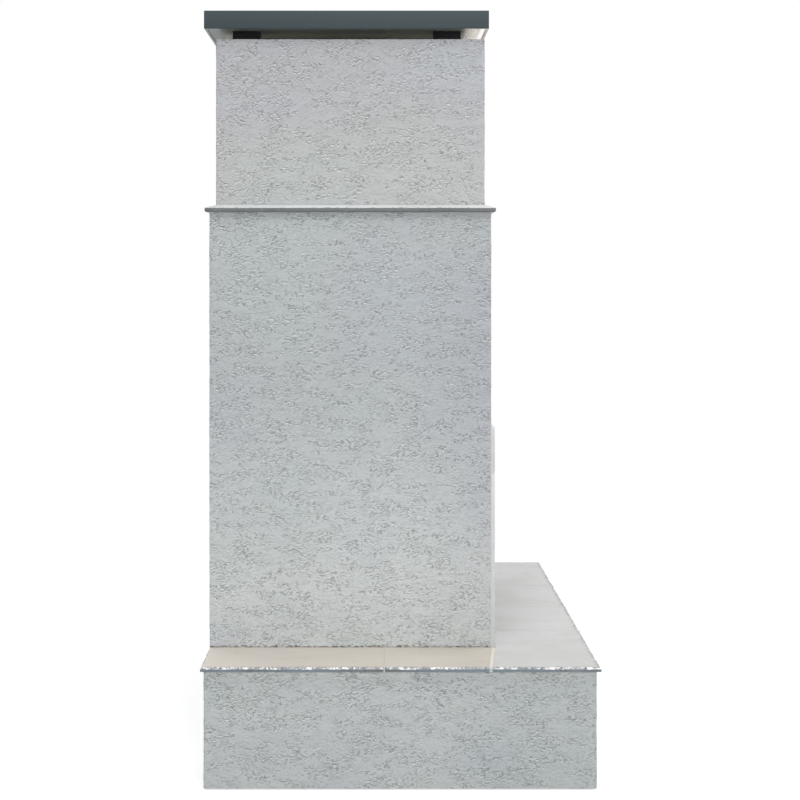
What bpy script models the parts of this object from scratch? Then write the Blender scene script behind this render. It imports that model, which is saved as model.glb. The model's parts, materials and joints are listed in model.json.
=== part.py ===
"""Free-standing outdoor wood-burning fireplace with a raised tiled hearth.

A welded steel base carries a cement-board deck, a tiled hearth and a stuccoed column. The column
steps in at a thin ledge and ends under a folded metal cap on four posts. Behind the tiled facing lie
a brick-lined firebox, a hinged throat damper, a smoke chamber, the flue and a pair of mesh curtains.

Metres, +Z up, front towards -Y. The origin is the middle of the overall box at ground level.
"""

from math import cos, pi, radians, sin, tau
from typing import NamedTuple

import bmesh
import bpy
from mathutils import Matrix, Vector

# Clearance between pieces that touch, and how far a cutting tool runs past what it cuts
GAP = 0.0003
OVERRUN = 0.01

# Hearth slab and its tiles; a wing of the slab shows on each side of the column
HEARTH_WING = 0.240
HEARTH_DEPTH = 1.000
HEARTH_TOP = 0.306
TILE_THICKNESS = 0.011
TILE_SIZE = 0.457
TILE_JOINT = 0.003
CORNER_JOINT = 0.009
CORNER_JOINT_SKEW = 0.022
TILE_OVERHANG = 0.0095
TILE_BACK_OVERHANG = 0.007
TILE_CLEARANCE = 0.0015
MORTAR_BED = 0.003
GROUT_RECESS = 0.001

# Wall build-up
STUCCO = 0.012
BOARD = 0.012
TUBE = 0.025
TUBE_STEP = 0.001
FOOT_GAP = 0.002

# Lower column, measured up from the hearth, and its tiled facing
COLUMN_WIDTH = 1.146
COLUMN_DEPTH = 0.742
HEARTH_WIDTH = COLUMN_WIDTH + 2 * HEARTH_WING
LOWER_COLUMN_HEIGHT = 1.144
FACING_HEIGHT = 0.577
FACING_THICKNESS = 0.009
OPENING_HEIGHT = 0.457
TRIM = 0.002

# Ledge and upper column
SETBACK = 0.016
UPPER_COLUMN_HEIGHT = 0.456
LEDGE_OVERHANG = 0.011
LEDGE_EDGE = 0.011
LEDGE_RISE = 0.008
TOP_PLATE = 0.002

# Cap and its posts
CAP_SIDE_OVERHANG = 0.0195
CAP_FRONT_OVERHANG = 0.0095
CAP_BACK_OVERHANG = 0.0295
CAP_GAP = 0.025
CAP_FASCIA = 0.048
CAP_SHEET = 0.0015
CAP_HEM = 0.008
CAP_CROWN = 0.006
SOFFIT_SIDE_FLANGE = 0.205
SOFFIT_END_FLANGE = 0.100
SOFFIT_LIP = 0.012
NOTCH_ROOM = 0.001
POST_WIDTH = 0.072
POST_LENGTH = 0.044
POST_END_INSET = 0.0715
POST_INSET = 0.040
POST_SHEET = 0.003
POST_FOOT = 0.004
BOLT_HOLE_RADIUS = 0.0045

# Firebox, sized from the column round it, and the opening between its jambs
FIREBOX_SHEET = 0.002
FIREBOX_SIDE_ROOM = 0.156
FIREBOX_TAPER = 0.085
JAMB = 0.036
FIREBOX_FRONT_WIDTH = COLUMN_WIDTH - 2 * FIREBOX_SIDE_ROOM
FIREBOX_BACK_WIDTH = FIREBOX_FRONT_WIDTH - 2 * FIREBOX_TAPER
OPENING_WIDTH = FIREBOX_FRONT_WIDTH - 2 * JAMB
FIREBOX_DEPTH = 0.480
FIREBOX_HEIGHT = 0.607
SCREEN_BAY = 0.064
PANEL = 0.030
FLOOR_BRICK = 0.025

# Throat damper
THROAT_SIDE_ROOM = 0.152
THROAT_WIDTH = FIREBOX_BACK_WIDTH - 2 * THROAT_SIDE_ROOM
THROAT_DEPTH = 0.160
THROAT_SETBACK = 0.030
DAMPER_RIM = 0.040
DAMPER_FRAME = 0.010
DAMPER_LAP = 0.010
DAMPER_BLADE = 0.005
DAMPER_RIB_WIDTH = 0.008
DAMPER_RIB_HEIGHT = 0.010
DAMPER_RIB_SHARES = (-0.5, 0.0, 0.5)
HINGE_SETBACK = 0.018
SHAFT_RADIUS = 0.005
SHAFT_CLEARANCE = 0.0003
LUG_THICKNESS = 0.012
LUG_WIDTH = 0.020
LUG_CLEARANCE = 0.0025
LUG_CROWN = 0.005
LEVER_RADIUS = 0.005
LEVER_REACH = 0.200
LEVER_FOOT_WIDTH = 0.030
LEVER_FOOT_DEPTH = 0.024
LEVER_FOOT_THICKNESS = 0.004
LEVER_OFFSET = 0.020
LEVER_LOOP = 0.022
LEVER_LOOP_POINTS = 16
LEVER_LOOP_SHARE = 0.9375

# Smoke chamber and flue
CHAMBER_SHEET = 0.0015
CHAMBER_CLEARANCE = 0.003
CHAMBER_SKIRT = 0.130
CHAMBER_HEIGHT = 0.400
CHAMBER_COLLAR = 0.025
FLUE_RADIUS = 0.127
FLUE_SHEET = 0.0015
FLUE_PROUD = 0.015
FLUE_CLEARANCE = 0.001

# Spark arrestor round the flue's mouth
ARRESTOR_RADIUS = 0.150
ARRESTOR_SHEET = 0.0015
ARRESTOR_STRIPS = 72
ARRESTOR_RING_SHARES = (0.0, 0.14, 0.44, 0.56, 0.86, 1.0)

# Log grate
GRATE_SIDE_ROOM = 0.102
GRATE_WIDTH = FIREBOX_BACK_WIDTH - 2 * GRATE_SIDE_ROOM
GRATE_DEPTH = 0.250
GRATE_LEG = 0.060
GRATE_BAR = 0.014
GRATE_TIP_RISE = 0.055
GRATE_TIP_RUN = 0.028
GRATE_BARS = 7

# Mesh curtains
ROD_RADIUS = 0.005
ROD_DROP = 0.022
ROD_OVERHANG = 0.014
ROD_TAB = 0.003
ROD_TAB_HEIGHT = 0.022
ROD_FOOT = 0.014
CURTAIN_THICKNESS = 0.002
CURTAIN_SWING = 0.011
CURTAIN_PITCH = 0.034
CURTAIN_FLOOR_GAP = 0.006
CURTAIN_END_INSET = 0.010
PULL_WIDTH = 0.012
PULL_THICKNESS = 0.004
PULL_EYE = 0.020
PULL_CLEARANCE = 0.0003
KNOB_HEIGHT = 0.130
KNOB_RADIUS = 0.0055
KNOB_NECK_RADIUS = 0.0025
KNOB_LENGTH = 0.022

# Facets of round work, and the limits that tell round from sharp and level from upright
FLUE_FACETS = 48
SHAFT_FACETS = 24
CURTAIN_STEPS = 8
ROUND_ANGLE = radians(40)
LEVEL_NORMAL = 0.5
MARKER_SIZE = 0.1
MERGE = 0.00001


class Footprint(NamedTuple):
    """Plan rectangle of a wall's outer face."""

    left: float
    right: float
    front: float
    back: float

    def inset(self, depth):
        """Return the rectangle moved inwards by depth on all four sides."""
        return Footprint(self.left + depth, self.right - depth, self.front + depth, self.back - depth)

    def middle(self):
        """Return the depth of the rectangle's centre line."""
        return (self.front + self.back) / 2


# Places worked out from the sizes above
DEPTH_OVERALL = HEARTH_DEPTH + CAP_BACK_OVERHANG - SETBACK
HEARTH_FRONT = -DEPTH_OVERALL / 2
HEARTH_BACK = HEARTH_FRONT + HEARTH_DEPTH
TILE_UNDERSIDE = HEARTH_TOP - TILE_THICKNESS
DECK_TOP = TILE_UNDERSIDE - MORTAR_BED - 2 * GAP
DECK_BOTTOM = DECK_TOP - BOARD
SHOULDER = HEARTH_TOP + LOWER_COLUMN_HEIGHT
COLUMN_TOP = SHOULDER + UPPER_COLUMN_HEIGHT
OPENING_TOP = HEARTH_TOP + OPENING_HEIGHT
WALL_BUILD = STUCCO + BOARD + 2 * GAP

BASE = Footprint(
    -HEARTH_WIDTH / 2 + TILE_OVERHANG,
    HEARTH_WIDTH / 2 - TILE_OVERHANG,
    HEARTH_FRONT + TILE_OVERHANG,
    HEARTH_BACK - TILE_BACK_OVERHANG,
)
LOWER = Footprint(-COLUMN_WIDTH / 2, COLUMN_WIDTH / 2, HEARTH_BACK - COLUMN_DEPTH, HEARTH_BACK)
UPPER = LOWER.inset(SETBACK)
CAP = Footprint(
    UPPER.left - CAP_SIDE_OVERHANG,
    UPPER.right + CAP_SIDE_OVERHANG,
    UPPER.front - CAP_FRONT_OVERHANG,
    UPPER.back + CAP_BACK_OVERHANG,
)

FACING_FRONT = LOWER.front - FACING_THICKNESS
SHELL_FRONT = LOWER.front + WALL_BUILD
SHELL_BACK = SHELL_FRONT + FIREBOX_DEPTH
SHELL_BOTTOM = DECK_TOP + GAP
SHELL_TOP = SHELL_BOTTOM + FIREBOX_HEIGHT
SHELL_INSIDE_FRONT = SHELL_FRONT + FIREBOX_SHEET
SHELL_INSIDE_BACK = SHELL_BACK - FIREBOX_SHEET
SHELL_FLOOR = SHELL_BOTTOM + FIREBOX_SHEET
BRICK_FLOOR_TOP = SHELL_FLOOR + GAP + FLOOR_BRICK
PANEL_FRONT = SHELL_INSIDE_FRONT + SCREEN_BAY
PANEL_BACK = SHELL_INSIDE_BACK - GAP - PANEL - GAP
THROAT_FRONT = PANEL_FRONT + THROAT_SETBACK
THROAT_BACK = THROAT_FRONT + THROAT_DEPTH
DAMPER_SEAT = SHELL_TOP + GAP + DAMPER_FRAME
HINGE = Vector((0, THROAT_FRONT - HINGE_SETBACK, DAMPER_SEAT + GAP + SHAFT_RADIUS))
FLUE_CENTRE = UPPER.middle()
CHAMBER_TOP = SHELL_TOP + CHAMBER_HEIGHT
CAP_BOTTOM = COLUMN_TOP + CAP_GAP
CAP_TOP = CAP_BOTTOM + CAP_FASCIA
ROD_DEPTH = SHELL_INSIDE_FRONT + SCREEN_BAY / 2
ROD_HEIGHT = OPENING_TOP + ROD_DROP
SIDES = {"left": -1, "right": 1}

for leftover in list(bpy.data.objects):
    bpy.data.objects.remove(leftover, do_unlink=True)

PARTS = bpy.data.collections.new("outdoor_fireplace")
TOOLS = bpy.data.collections.new("cutting_tools")
bpy.context.scene.collection.children.link(PARTS)
bpy.context.scene.collection.children.link(TOOLS)


def finish(name, shade, roughness, metallic=0.0):
    """Return a material from an sRGB shade given in bytes."""
    material = bpy.data.materials.new(name)
    material.use_nodes = True
    shader = material.node_tree.nodes["Principled BSDF"]
    linear = [((channel / 255 + 0.055) / 1.055) ** 2.4 for channel in shade]
    shader.inputs["Base Color"].default_value = (*linear, 1)
    shader.inputs["Roughness"].default_value = roughness
    shader.inputs["Metallic"].default_value = metallic
    return material


STUCCO_FINISH = finish("pale_stucco", (182, 186, 186), 0.9)
BEIGE_TILE = finish("beige_hearth_tile", (204, 197, 188), 0.5)
GREY_TILE = finish("grey_hearth_tile", (207, 207, 205), 0.5)
FACING_TILE = finish("facing_tile", (215, 218, 216), 0.45)
LEDGE_FINISH = finish("ledge_tile", (190, 192, 191), 0.55)
GROUT = finish("cream_grout", (226, 216, 186), 0.85)
CEMENT_BOARD = finish("cement_board", (150, 150, 146), 0.9)
FRAME_STEEL = finish("primed_frame_steel", (92, 88, 84), 0.55, 0.8)
CAP_METAL = finish("slate_cap_metal", (78, 87, 90), 0.4, 0.3)
SOFFIT_COAT = finish("pale_soffit_coat", (176, 178, 172), 0.5, 0.2)
BLACK_STEEL = finish("black_steel", (22, 23, 24), 0.5, 0.4)
GALVANISED = finish("galvanised_sheet", (168, 172, 174), 0.35, 0.9)
FIRE_BRICK = finish("fire_brick", (196, 178, 150), 0.9)
CAST_IRON = finish("cast_iron", (48, 47, 46), 0.65, 0.6)
CURTAIN_MESH = finish("curtain_mesh", (52, 52, 52), 0.45, 0.8)


def add_piece(name, data, material=None):
    """Link new object data as a part, or as a cutting tool where it has no material."""
    piece = bpy.data.objects.new(name, data)
    if material:
        data.materials.append(material)
        PARTS.objects.link(piece)
    else:
        TOOLS.objects.link(piece)
        piece.hide_render = True
        piece.display_type = "WIRE"
    return piece


def block(name, low, high, material=None):
    """Return a box between two corners, shaped from a unit cube."""
    low, high = Vector(low), Vector(high)
    shape = bmesh.new()
    bmesh.ops.create_cube(shape, size=1)
    bmesh.ops.scale(shape, vec=high - low, verts=shape.verts)
    mesh = bpy.data.meshes.new(name)
    shape.to_mesh(mesh)
    shape.free()
    piece = add_piece(name, mesh, material)
    piece.location = (low + high) / 2
    return piece


def slab(name, face, bottom, top, material=None):
    """Return a box that fills a footprint between two heights."""
    return block(name, (face.left, face.front, bottom), (face.right, face.back, top), material)


def as_mesh(curve_piece, name, material):
    """Return a welded mesh piece in place of a curve."""
    bpy.context.view_layer.update()
    evaluated = curve_piece.evaluated_get(bpy.context.evaluated_depsgraph_get())
    mesh = bpy.data.meshes.new_from_object(evaluated)
    mesh.name = name
    mesh.materials.clear()
    welded = bmesh.new()
    welded.from_mesh(mesh)
    bmesh.ops.remove_doubles(welded, verts=welded.verts, dist=MERGE)
    bmesh.ops.recalc_face_normals(welded, faces=welded.faces)
    welded.to_mesh(mesh)
    welded.free()
    matrix = curve_piece.matrix_world.copy()
    bpy.data.objects.remove(curve_piece, do_unlink=True)
    piece = add_piece(name, mesh, material)
    piece.matrix_world = matrix
    return piece


def extruded(name, outline, thickness, matrix, material=None):
    """Return a plate cut to a flat outline, its thickness centred on the outline's plane."""
    curve = bpy.data.curves.new(name + "_outline", "CURVE")
    curve.dimensions = "2D"
    curve.fill_mode = "BOTH"
    curve.extrude = thickness / 2
    spline = curve.splines.new("POLY")
    spline.points.add(len(outline) - 1)
    for point, place in zip(spline.points, outline):
        point.co = (*place, 0, 1)
    spline.use_cyclic_u = True
    guide = add_piece(name + "_outline", curve)
    guide.matrix_world = matrix
    return as_mesh(guide, name, material)


def plan_plate(name, outline, bottom, top, material=None):
    """Return a plate with a plan outline between two heights."""
    return extruded(name, outline, top - bottom, Matrix.Translation((0, 0, (bottom + top) / 2)), material)


def rod(name, path, radius, material=None, sides=3):
    """Return a round bar along a list of points, with closed ends."""
    curve = bpy.data.curves.new(name + "_path", "CURVE")
    curve.dimensions = "3D"
    curve.bevel_depth = radius
    curve.bevel_resolution = sides
    curve.use_fill_caps = True
    spline = curve.splines.new("POLY")
    spline.points.add(len(path) - 1)
    for point, place in zip(spline.points, path):
        point.co = (*place, 1)
    return soften(as_mesh(add_piece(name + "_path", curve), name, material))


def soften(piece):
    """Shade a round piece smooth, keeping its sharp rims."""
    piece.data.shade_smooth()
    piece.data.set_sharp_from_angle(angle=ROUND_ANGLE)
    return piece


def turned(name, profile, matrix, material=None, facets=FLUE_FACETS):
    """Return a closed profile of (radius, height) points turned round its own Z axis."""
    mesh = bpy.data.meshes.new(name)
    corners = [(radius, 0, height) for radius, height in profile]
    edges = [(index, (index + 1) % len(corners)) for index in range(len(corners))]
    mesh.from_pydata(corners, edges, [])
    piece = add_piece(name, mesh, material)
    piece.matrix_world = matrix
    screw = piece.modifiers.new("Turn", "SCREW")
    screw.steps = facets
    screw.render_steps = facets
    screw.use_merge_vertices = True
    screw.merge_threshold = MERGE
    screw.use_smooth_shade = False
    return piece


def cylinder(name, radius, start, end, material=None, facets=SHAFT_FACETS):
    """Return a closed cylinder between two points."""
    start, end = Vector(start), Vector(end)
    shape = bmesh.new()
    bmesh.ops.create_cone(
        shape,
        cap_ends=True,
        segments=facets,
        radius1=radius,
        radius2=radius,
        depth=(end - start).length,
    )
    mesh = bpy.data.meshes.new(name)
    shape.to_mesh(mesh)
    shape.free()
    piece = add_piece(name, mesh, material)
    turn = (end - start).to_track_quat("Z", "Y").to_matrix().to_4x4()
    piece.matrix_world = Matrix.Translation((start + end) / 2) @ turn
    return soften(piece)


def combine(piece, operation, others):
    """Give a piece one exact Boolean for each of the other shapes."""
    for other in others:
        modifier = piece.modifiers.new(f"{operation.title()} {other.name}", "BOOLEAN")
        modifier.operation = operation
        modifier.solver = "EXACT"
        modifier.object = other
    return piece


def cut(piece, *tools):
    """Cut each tool out of a piece."""
    return combine(piece, "DIFFERENCE", tools)


def weld(piece, *additions):
    """Join each addition to a piece as one solid."""
    return combine(piece, "UNION", additions)


def hang(pivot, *pieces):
    """Parent pieces to the empty that marks their joint, where they stand."""
    for piece in pieces:
        piece.parent = pivot
        piece.location = piece.location - pivot.location


def joint_marker(name, place):
    """Return an empty on a joint's axis."""
    marker = bpy.data.objects.new(name, None)
    marker.empty_display_size = MARKER_SIZE
    marker.location = place
    PARTS.objects.link(marker)
    return marker


def wall_ring(name, face, wall, bottom, top, material):
    """Return four continuous walls inside a footprint, open above and below."""
    ring = slab(name, face, bottom, top, material)
    hollow = slab(name + "_hollow", face.inset(wall), bottom - OVERRUN, top + OVERRUN)
    return cut(ring, hollow)


def board_set(prefix, face, bottom, top):
    """Return front, back, left and right boards that butt together inside a footprint."""
    inner = face.inset(BOARD)
    front_back = {"front": (face.front, inner.front), "back": (inner.back, face.back)}
    left_right = {"left": (face.left, inner.left), "right": (inner.right, face.right)}
    boards = {}
    for side, (near, far) in front_back.items():
        low, high = (face.left, near, bottom), (face.right, far, top)
        boards[side] = block(f"{prefix}_board_{side}", low, high, CEMENT_BOARD)
    for side, (near, far) in left_right.items():
        low, high = (near, inner.front + GAP, bottom), (far, inner.back - GAP, top)
        boards[side] = block(f"{prefix}_board_{side}", low, high, CEMENT_BOARD)
    return boards


def corner_posts(name, outer, inner, bottom, top):
    """Return the four upright bars that fill a frame's corners."""
    posts = []
    for across in ((outer.left, inner.left), (inner.right, outer.right)):
        for deep in ((outer.front, inner.front), (inner.back, outer.back)):
            low, high = (across[0], deep[0], bottom), (across[1], deep[1], top)
            posts.append(block(f"{name}_post_{len(posts)}", low, high))
    return posts


def rail_ring(name, outer, inner, bottom, top, sides=("front", "back", "left", "right")):
    """Return the level bars along the named sides, a step slimmer than the posts they end in."""
    near, far = outer.inset(TUBE_STEP), inner.inset(-TUBE_STEP)
    ends = halfway(outer, inner)
    spans = {
        "front": ((ends.left, near.front), (ends.right, far.front)),
        "back": ((ends.left, far.back), (ends.right, near.back)),
        "left": ((near.left, ends.front), (far.left, ends.back)),
        "right": ((far.right, ends.front), (near.right, ends.back)),
    }
    low, high = bottom + TUBE_STEP, top - TUBE_STEP
    return [block(f"{name}_{side}", (*spans[side][0], low), (*spans[side][1], high)) for side in sides]


def halfway(outer, inner):
    """Return the footprint that runs along the middle of a frame's bars."""
    return Footprint(*((near + far) / 2 for near, far in zip(outer, inner)))


def welded_frame(name, bars, material):
    """Return one solid frame from its bars."""
    first, *rest = bars
    TOOLS.objects.unlink(first)
    PARTS.objects.link(first)
    first.name = name
    first.hide_render = False
    first.display_type = "TEXTURED"
    first.data.materials.append(material)
    return weld(first, *rest)


def build_base():
    """Make the steel base frame, its boards, the deck and the stucco round it."""
    frame_top = DECK_BOTTOM - GAP
    outer = BASE.inset(WALL_BUILD)
    inner = outer.inset(TUBE)
    bars = corner_posts("base_frame", outer, inner, 0, frame_top)
    bars += rail_ring("base_frame_low", outer, inner, 0, TUBE)
    bars += rail_ring("base_frame_high", outer, inner, frame_top - TUBE, frame_top)
    ends = halfway(outer, inner)
    joist_bottom, joist_top = frame_top - TUBE + 2 * TUBE_STEP, frame_top - 2 * TUBE_STEP
    for side, sign in SIDES.items():
        column_edge = sign * (COLUMN_WIDTH / 2 - WALL_BUILD)
        near, far = sorted((column_edge, column_edge - sign * TUBE))
        joist_low = (near, ends.front, joist_bottom)
        bars.append(block(f"base_frame_joist_{side}", joist_low, (far, ends.back, joist_top)))
    welded_frame("base_frame", bars, FRAME_STEEL)
    board_set("base", BASE.inset(STUCCO + GAP), FOOT_GAP, DECK_BOTTOM - GAP)
    slab("base_deck", BASE.inset(STUCCO + GAP), DECK_BOTTOM, DECK_TOP, CEMENT_BOARD)
    wall_ring("base_stucco", BASE, STUCCO, FOOT_GAP, DECK_TOP, STUCCO_FINISH)


def build_hearth():
    """Lay the hearth's tiles on a mortar bed whose ridges fill the joints between them."""
    bottom = TILE_UNDERSIDE
    edge = HEARTH_WIDTH / 2
    front_row_back = FACING_FRONT - TILE_CLEARANCE
    skewed = LOWER.front + CORNER_JOINT_SKEW
    skewed_front = skewed - CORNER_JOINT
    tile_end = edge - TILE_SIZE
    side_joint = HEARTH_BACK - TILE_SIZE
    grout_top = HEARTH_TOP - GROUT_RECESS
    ridge_foot = DECK_TOP + GAP + MORTAR_BED / 2
    grout = []

    for side, sign in SIDES.items():
        wall = LOWER.right + TILE_CLEARANCE
        outlines = {
            f"hearth_tile_front_{side}": [
                (edge, HEARTH_FRONT),
                (edge, skewed_front),
                (LOWER.right, front_row_back),
                (tile_end, front_row_back),
                (tile_end, HEARTH_FRONT),
            ],
            f"hearth_tile_front_middle_{side}": [
                (tile_end - TILE_JOINT, HEARTH_FRONT),
                (tile_end - TILE_JOINT, front_row_back),
                (TILE_JOINT / 2, front_row_back),
                (TILE_JOINT / 2, HEARTH_FRONT),
            ],
            f"hearth_tile_side_{side}": [
                (edge, skewed),
                (edge, side_joint - TILE_JOINT),
                (wall, side_joint - TILE_JOINT),
                (wall, LOWER.front),
            ],
            f"hearth_tile_back_{side}": [
                (edge, side_joint),
                (edge, HEARTH_BACK),
                (wall, HEARTH_BACK),
                (wall, side_joint),
            ],
        }
        for name, outline in outlines.items():
            finish_here = GREY_TILE if "front" in name else BEIGE_TILE
            places = [(sign * across, deep) for across, deep in outline]
            plan_plate(name, places, bottom, HEARTH_TOP, finish_here)
        joints = {
            f"corner_{side}": [
                (edge, skewed_front + GAP),
                (edge, skewed - GAP),
                (wall, LOWER.front - GAP),
                (wall, front_row_back + GAP),
            ],
            f"side_{side}": [
                (edge, side_joint - TILE_JOINT + GAP),
                (edge, side_joint - GAP),
                (wall, side_joint - GAP),
                (wall, side_joint - TILE_JOINT + GAP),
            ],
            f"front_{side}": [
                (tile_end - GAP, HEARTH_FRONT),
                (tile_end - GAP, front_row_back),
                (tile_end - TILE_JOINT + GAP, front_row_back),
                (tile_end - TILE_JOINT + GAP, HEARTH_FRONT),
            ],
        }
        for name, outline in joints.items():
            places = [(sign * across, deep) for across, deep in outline]
            grout.append(plan_plate(f"grout_{name}", places, ridge_foot, grout_top))

    strip = TILE_JOINT / 2 - GAP
    strip_low, strip_high = (-strip, HEARTH_FRONT, ridge_foot), (strip, front_row_back, grout_top)
    grout.append(block("grout_middle", strip_low, strip_high))
    wall = LOWER.right + TILE_CLEARANCE
    plan = [
        (BASE.left, BASE.front),
        (BASE.right, BASE.front),
        (BASE.right, BASE.back),
        (wall, BASE.back),
        (wall, front_row_back),
        (-wall, front_row_back),
        (-wall, BASE.back),
        (BASE.left, BASE.back),
    ]
    bed = plan_plate("hearth_mortar", plan, DECK_TOP + GAP, bottom - GAP, GROUT)
    weld(bed, *grout)


def build_column():
    """Make the column's frame, the boards and the stucco of both storeys, and the facing."""
    outer = LOWER.inset(WALL_BUILD)
    outer_above = UPPER.inset(WALL_BUILD)
    inner = outer_above.inset(TUBE)
    inner_above = inner.inset(-TUBE_STEP)
    plate_underside = COLUMN_TOP - TOP_PLATE - GAP
    header = SHELL_TOP + DAMPER_FRAME
    bars = corner_posts("column_low", outer, inner, DECK_TOP + GAP, SHOULDER - GAP)
    bars += corner_posts("column_high", outer_above, inner_above, SHOULDER - TUBE / 2, plate_underside)
    foot_bottom, foot_sides = DECK_TOP + GAP, ("back", "left", "right")
    bars += rail_ring("column_foot", outer, inner, foot_bottom, foot_bottom + TUBE, foot_sides)
    bars += rail_ring("column_header", outer, inner, header, header + TUBE)
    bars += rail_ring("column_shoulder", outer, inner, SHOULDER - GAP - TUBE, SHOULDER - GAP)
    bars += rail_ring("column_crown", outer_above, inner_above, plate_underside - TUBE, plate_underside)
    welded_frame("column_frame", bars, FRAME_STEEL)

    hole_half = OPENING_WIDTH / 2 + TRIM + GAP
    hole_low = (-hole_half, LOWER.front - OVERRUN, DECK_BOTTOM)
    hole_high = (hole_half, SHELL_FRONT, OPENING_TOP + TRIM + GAP)
    opening = block("wall_opening", hole_low, hole_high)
    boards = board_set("column", LOWER.inset(STUCCO + GAP), TILE_UNDERSIDE, SHOULDER - GAP)
    cut(boards["front"], opening)
    skin = wall_ring("column_stucco", LOWER, STUCCO, TILE_UNDERSIDE, SHOULDER - GAP, STUCCO_FINISH)
    cut(skin, opening)

    board_set("chimney", UPPER.inset(STUCCO + GAP), SHOULDER, plate_underside)
    wall_ring("chimney_stucco", UPPER, STUCCO, SHOULDER, COLUMN_TOP, STUCCO_FINISH)

    facing_back = LOWER.front - GAP
    header_bottom = OPENING_TOP + TRIM + GAP
    for side, sign in SIDES.items():
        near, far = sorted((sign * hole_half, sign * COLUMN_WIDTH / 2))
        block(
            f"facing_{side}",
            (near, FACING_FRONT, DECK_TOP + GAP),
            (far, facing_back, OPENING_TOP),
            FACING_TILE,
        )
        near, far = sorted((sign * TILE_JOINT / 2, sign * COLUMN_WIDTH / 2))
        block(
            f"facing_header_{side}",
            (near, FACING_FRONT, header_bottom),
            (far, facing_back, HEARTH_TOP + FACING_HEIGHT),
            FACING_TILE,
        )

    half = OPENING_WIDTH / 2
    trim = block(
        "opening_trim",
        (-half - TRIM, FACING_FRONT, DECK_TOP + GAP),
        (half + TRIM, SHELL_FRONT - GAP, OPENING_TOP + TRIM),
        BLACK_STEEL,
    )
    mouth_low = (-half, FACING_FRONT - OVERRUN, DECK_TOP - OVERRUN)
    cut(trim, block("trim_mouth", mouth_low, (half, SHELL_FRONT + OVERRUN, OPENING_TOP)))


def mitred_strip(name, corners, low, outer_high, inner_high, material):
    """Return a strip on four plan corners, outer pair first, whose top slopes up to the inner pair."""
    shape = bmesh.new()
    bmesh.ops.create_cube(shape, size=1)
    order = {(-1, -1): 0, (1, -1): 1, (1, 1): 2, (-1, 1): 3}
    for vert in shape.verts:
        across = 1 if vert.co.x > 0 else -1
        deep = 1 if vert.co.y > 0 else -1
        index = order[(across, deep)]
        high = outer_high if index < 2 else inner_high
        vert.co = (*corners[index], high if vert.co.z > 0 else low)
    bmesh.ops.recalc_face_normals(shape, faces=shape.faces)
    mesh = bpy.data.meshes.new(name)
    shape.to_mesh(mesh)
    shape.free()
    return add_piece(name, mesh, material)


def build_ledge():
    """Lay the four mitred strips of the ledge on the shoulder of the column."""
    inner = UPPER.inset(-GAP)
    outer = LOWER.inset(-LEDGE_OVERHANG)
    low, edge_high = SHOULDER, SHOULDER + LEDGE_EDGE
    plans = {
        "front": [
            (outer.left, outer.front),
            (outer.right, outer.front),
            (inner.right, inner.front),
            (inner.left, inner.front),
        ],
        "back": [
            (outer.right, outer.back),
            (outer.left, outer.back),
            (inner.left, inner.back),
            (inner.right, inner.back),
        ],
        "left": [
            (outer.left, outer.back - GAP),
            (outer.left, outer.front + GAP),
            (inner.left, inner.front + GAP),
            (inner.left, inner.back - GAP),
        ],
        "right": [
            (outer.right, outer.front + GAP),
            (outer.right, outer.back - GAP),
            (inner.right, inner.back - GAP),
            (inner.right, inner.front + GAP),
        ],
    }
    for side, corners in plans.items():
        mitred_strip(f"ledge_{side}", corners, low, edge_high, edge_high + LEDGE_RISE, LEDGE_FINISH)


def shell_half(deep):
    """Return half the width inside the tapering firebox shell at a given depth."""
    share = (deep - SHELL_FRONT) / FIREBOX_DEPTH
    outside = FIREBOX_FRONT_WIDTH + (FIREBOX_BACK_WIDTH - FIREBOX_FRONT_WIDTH) * share
    return outside / 2 - FIREBOX_SHEET


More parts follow.
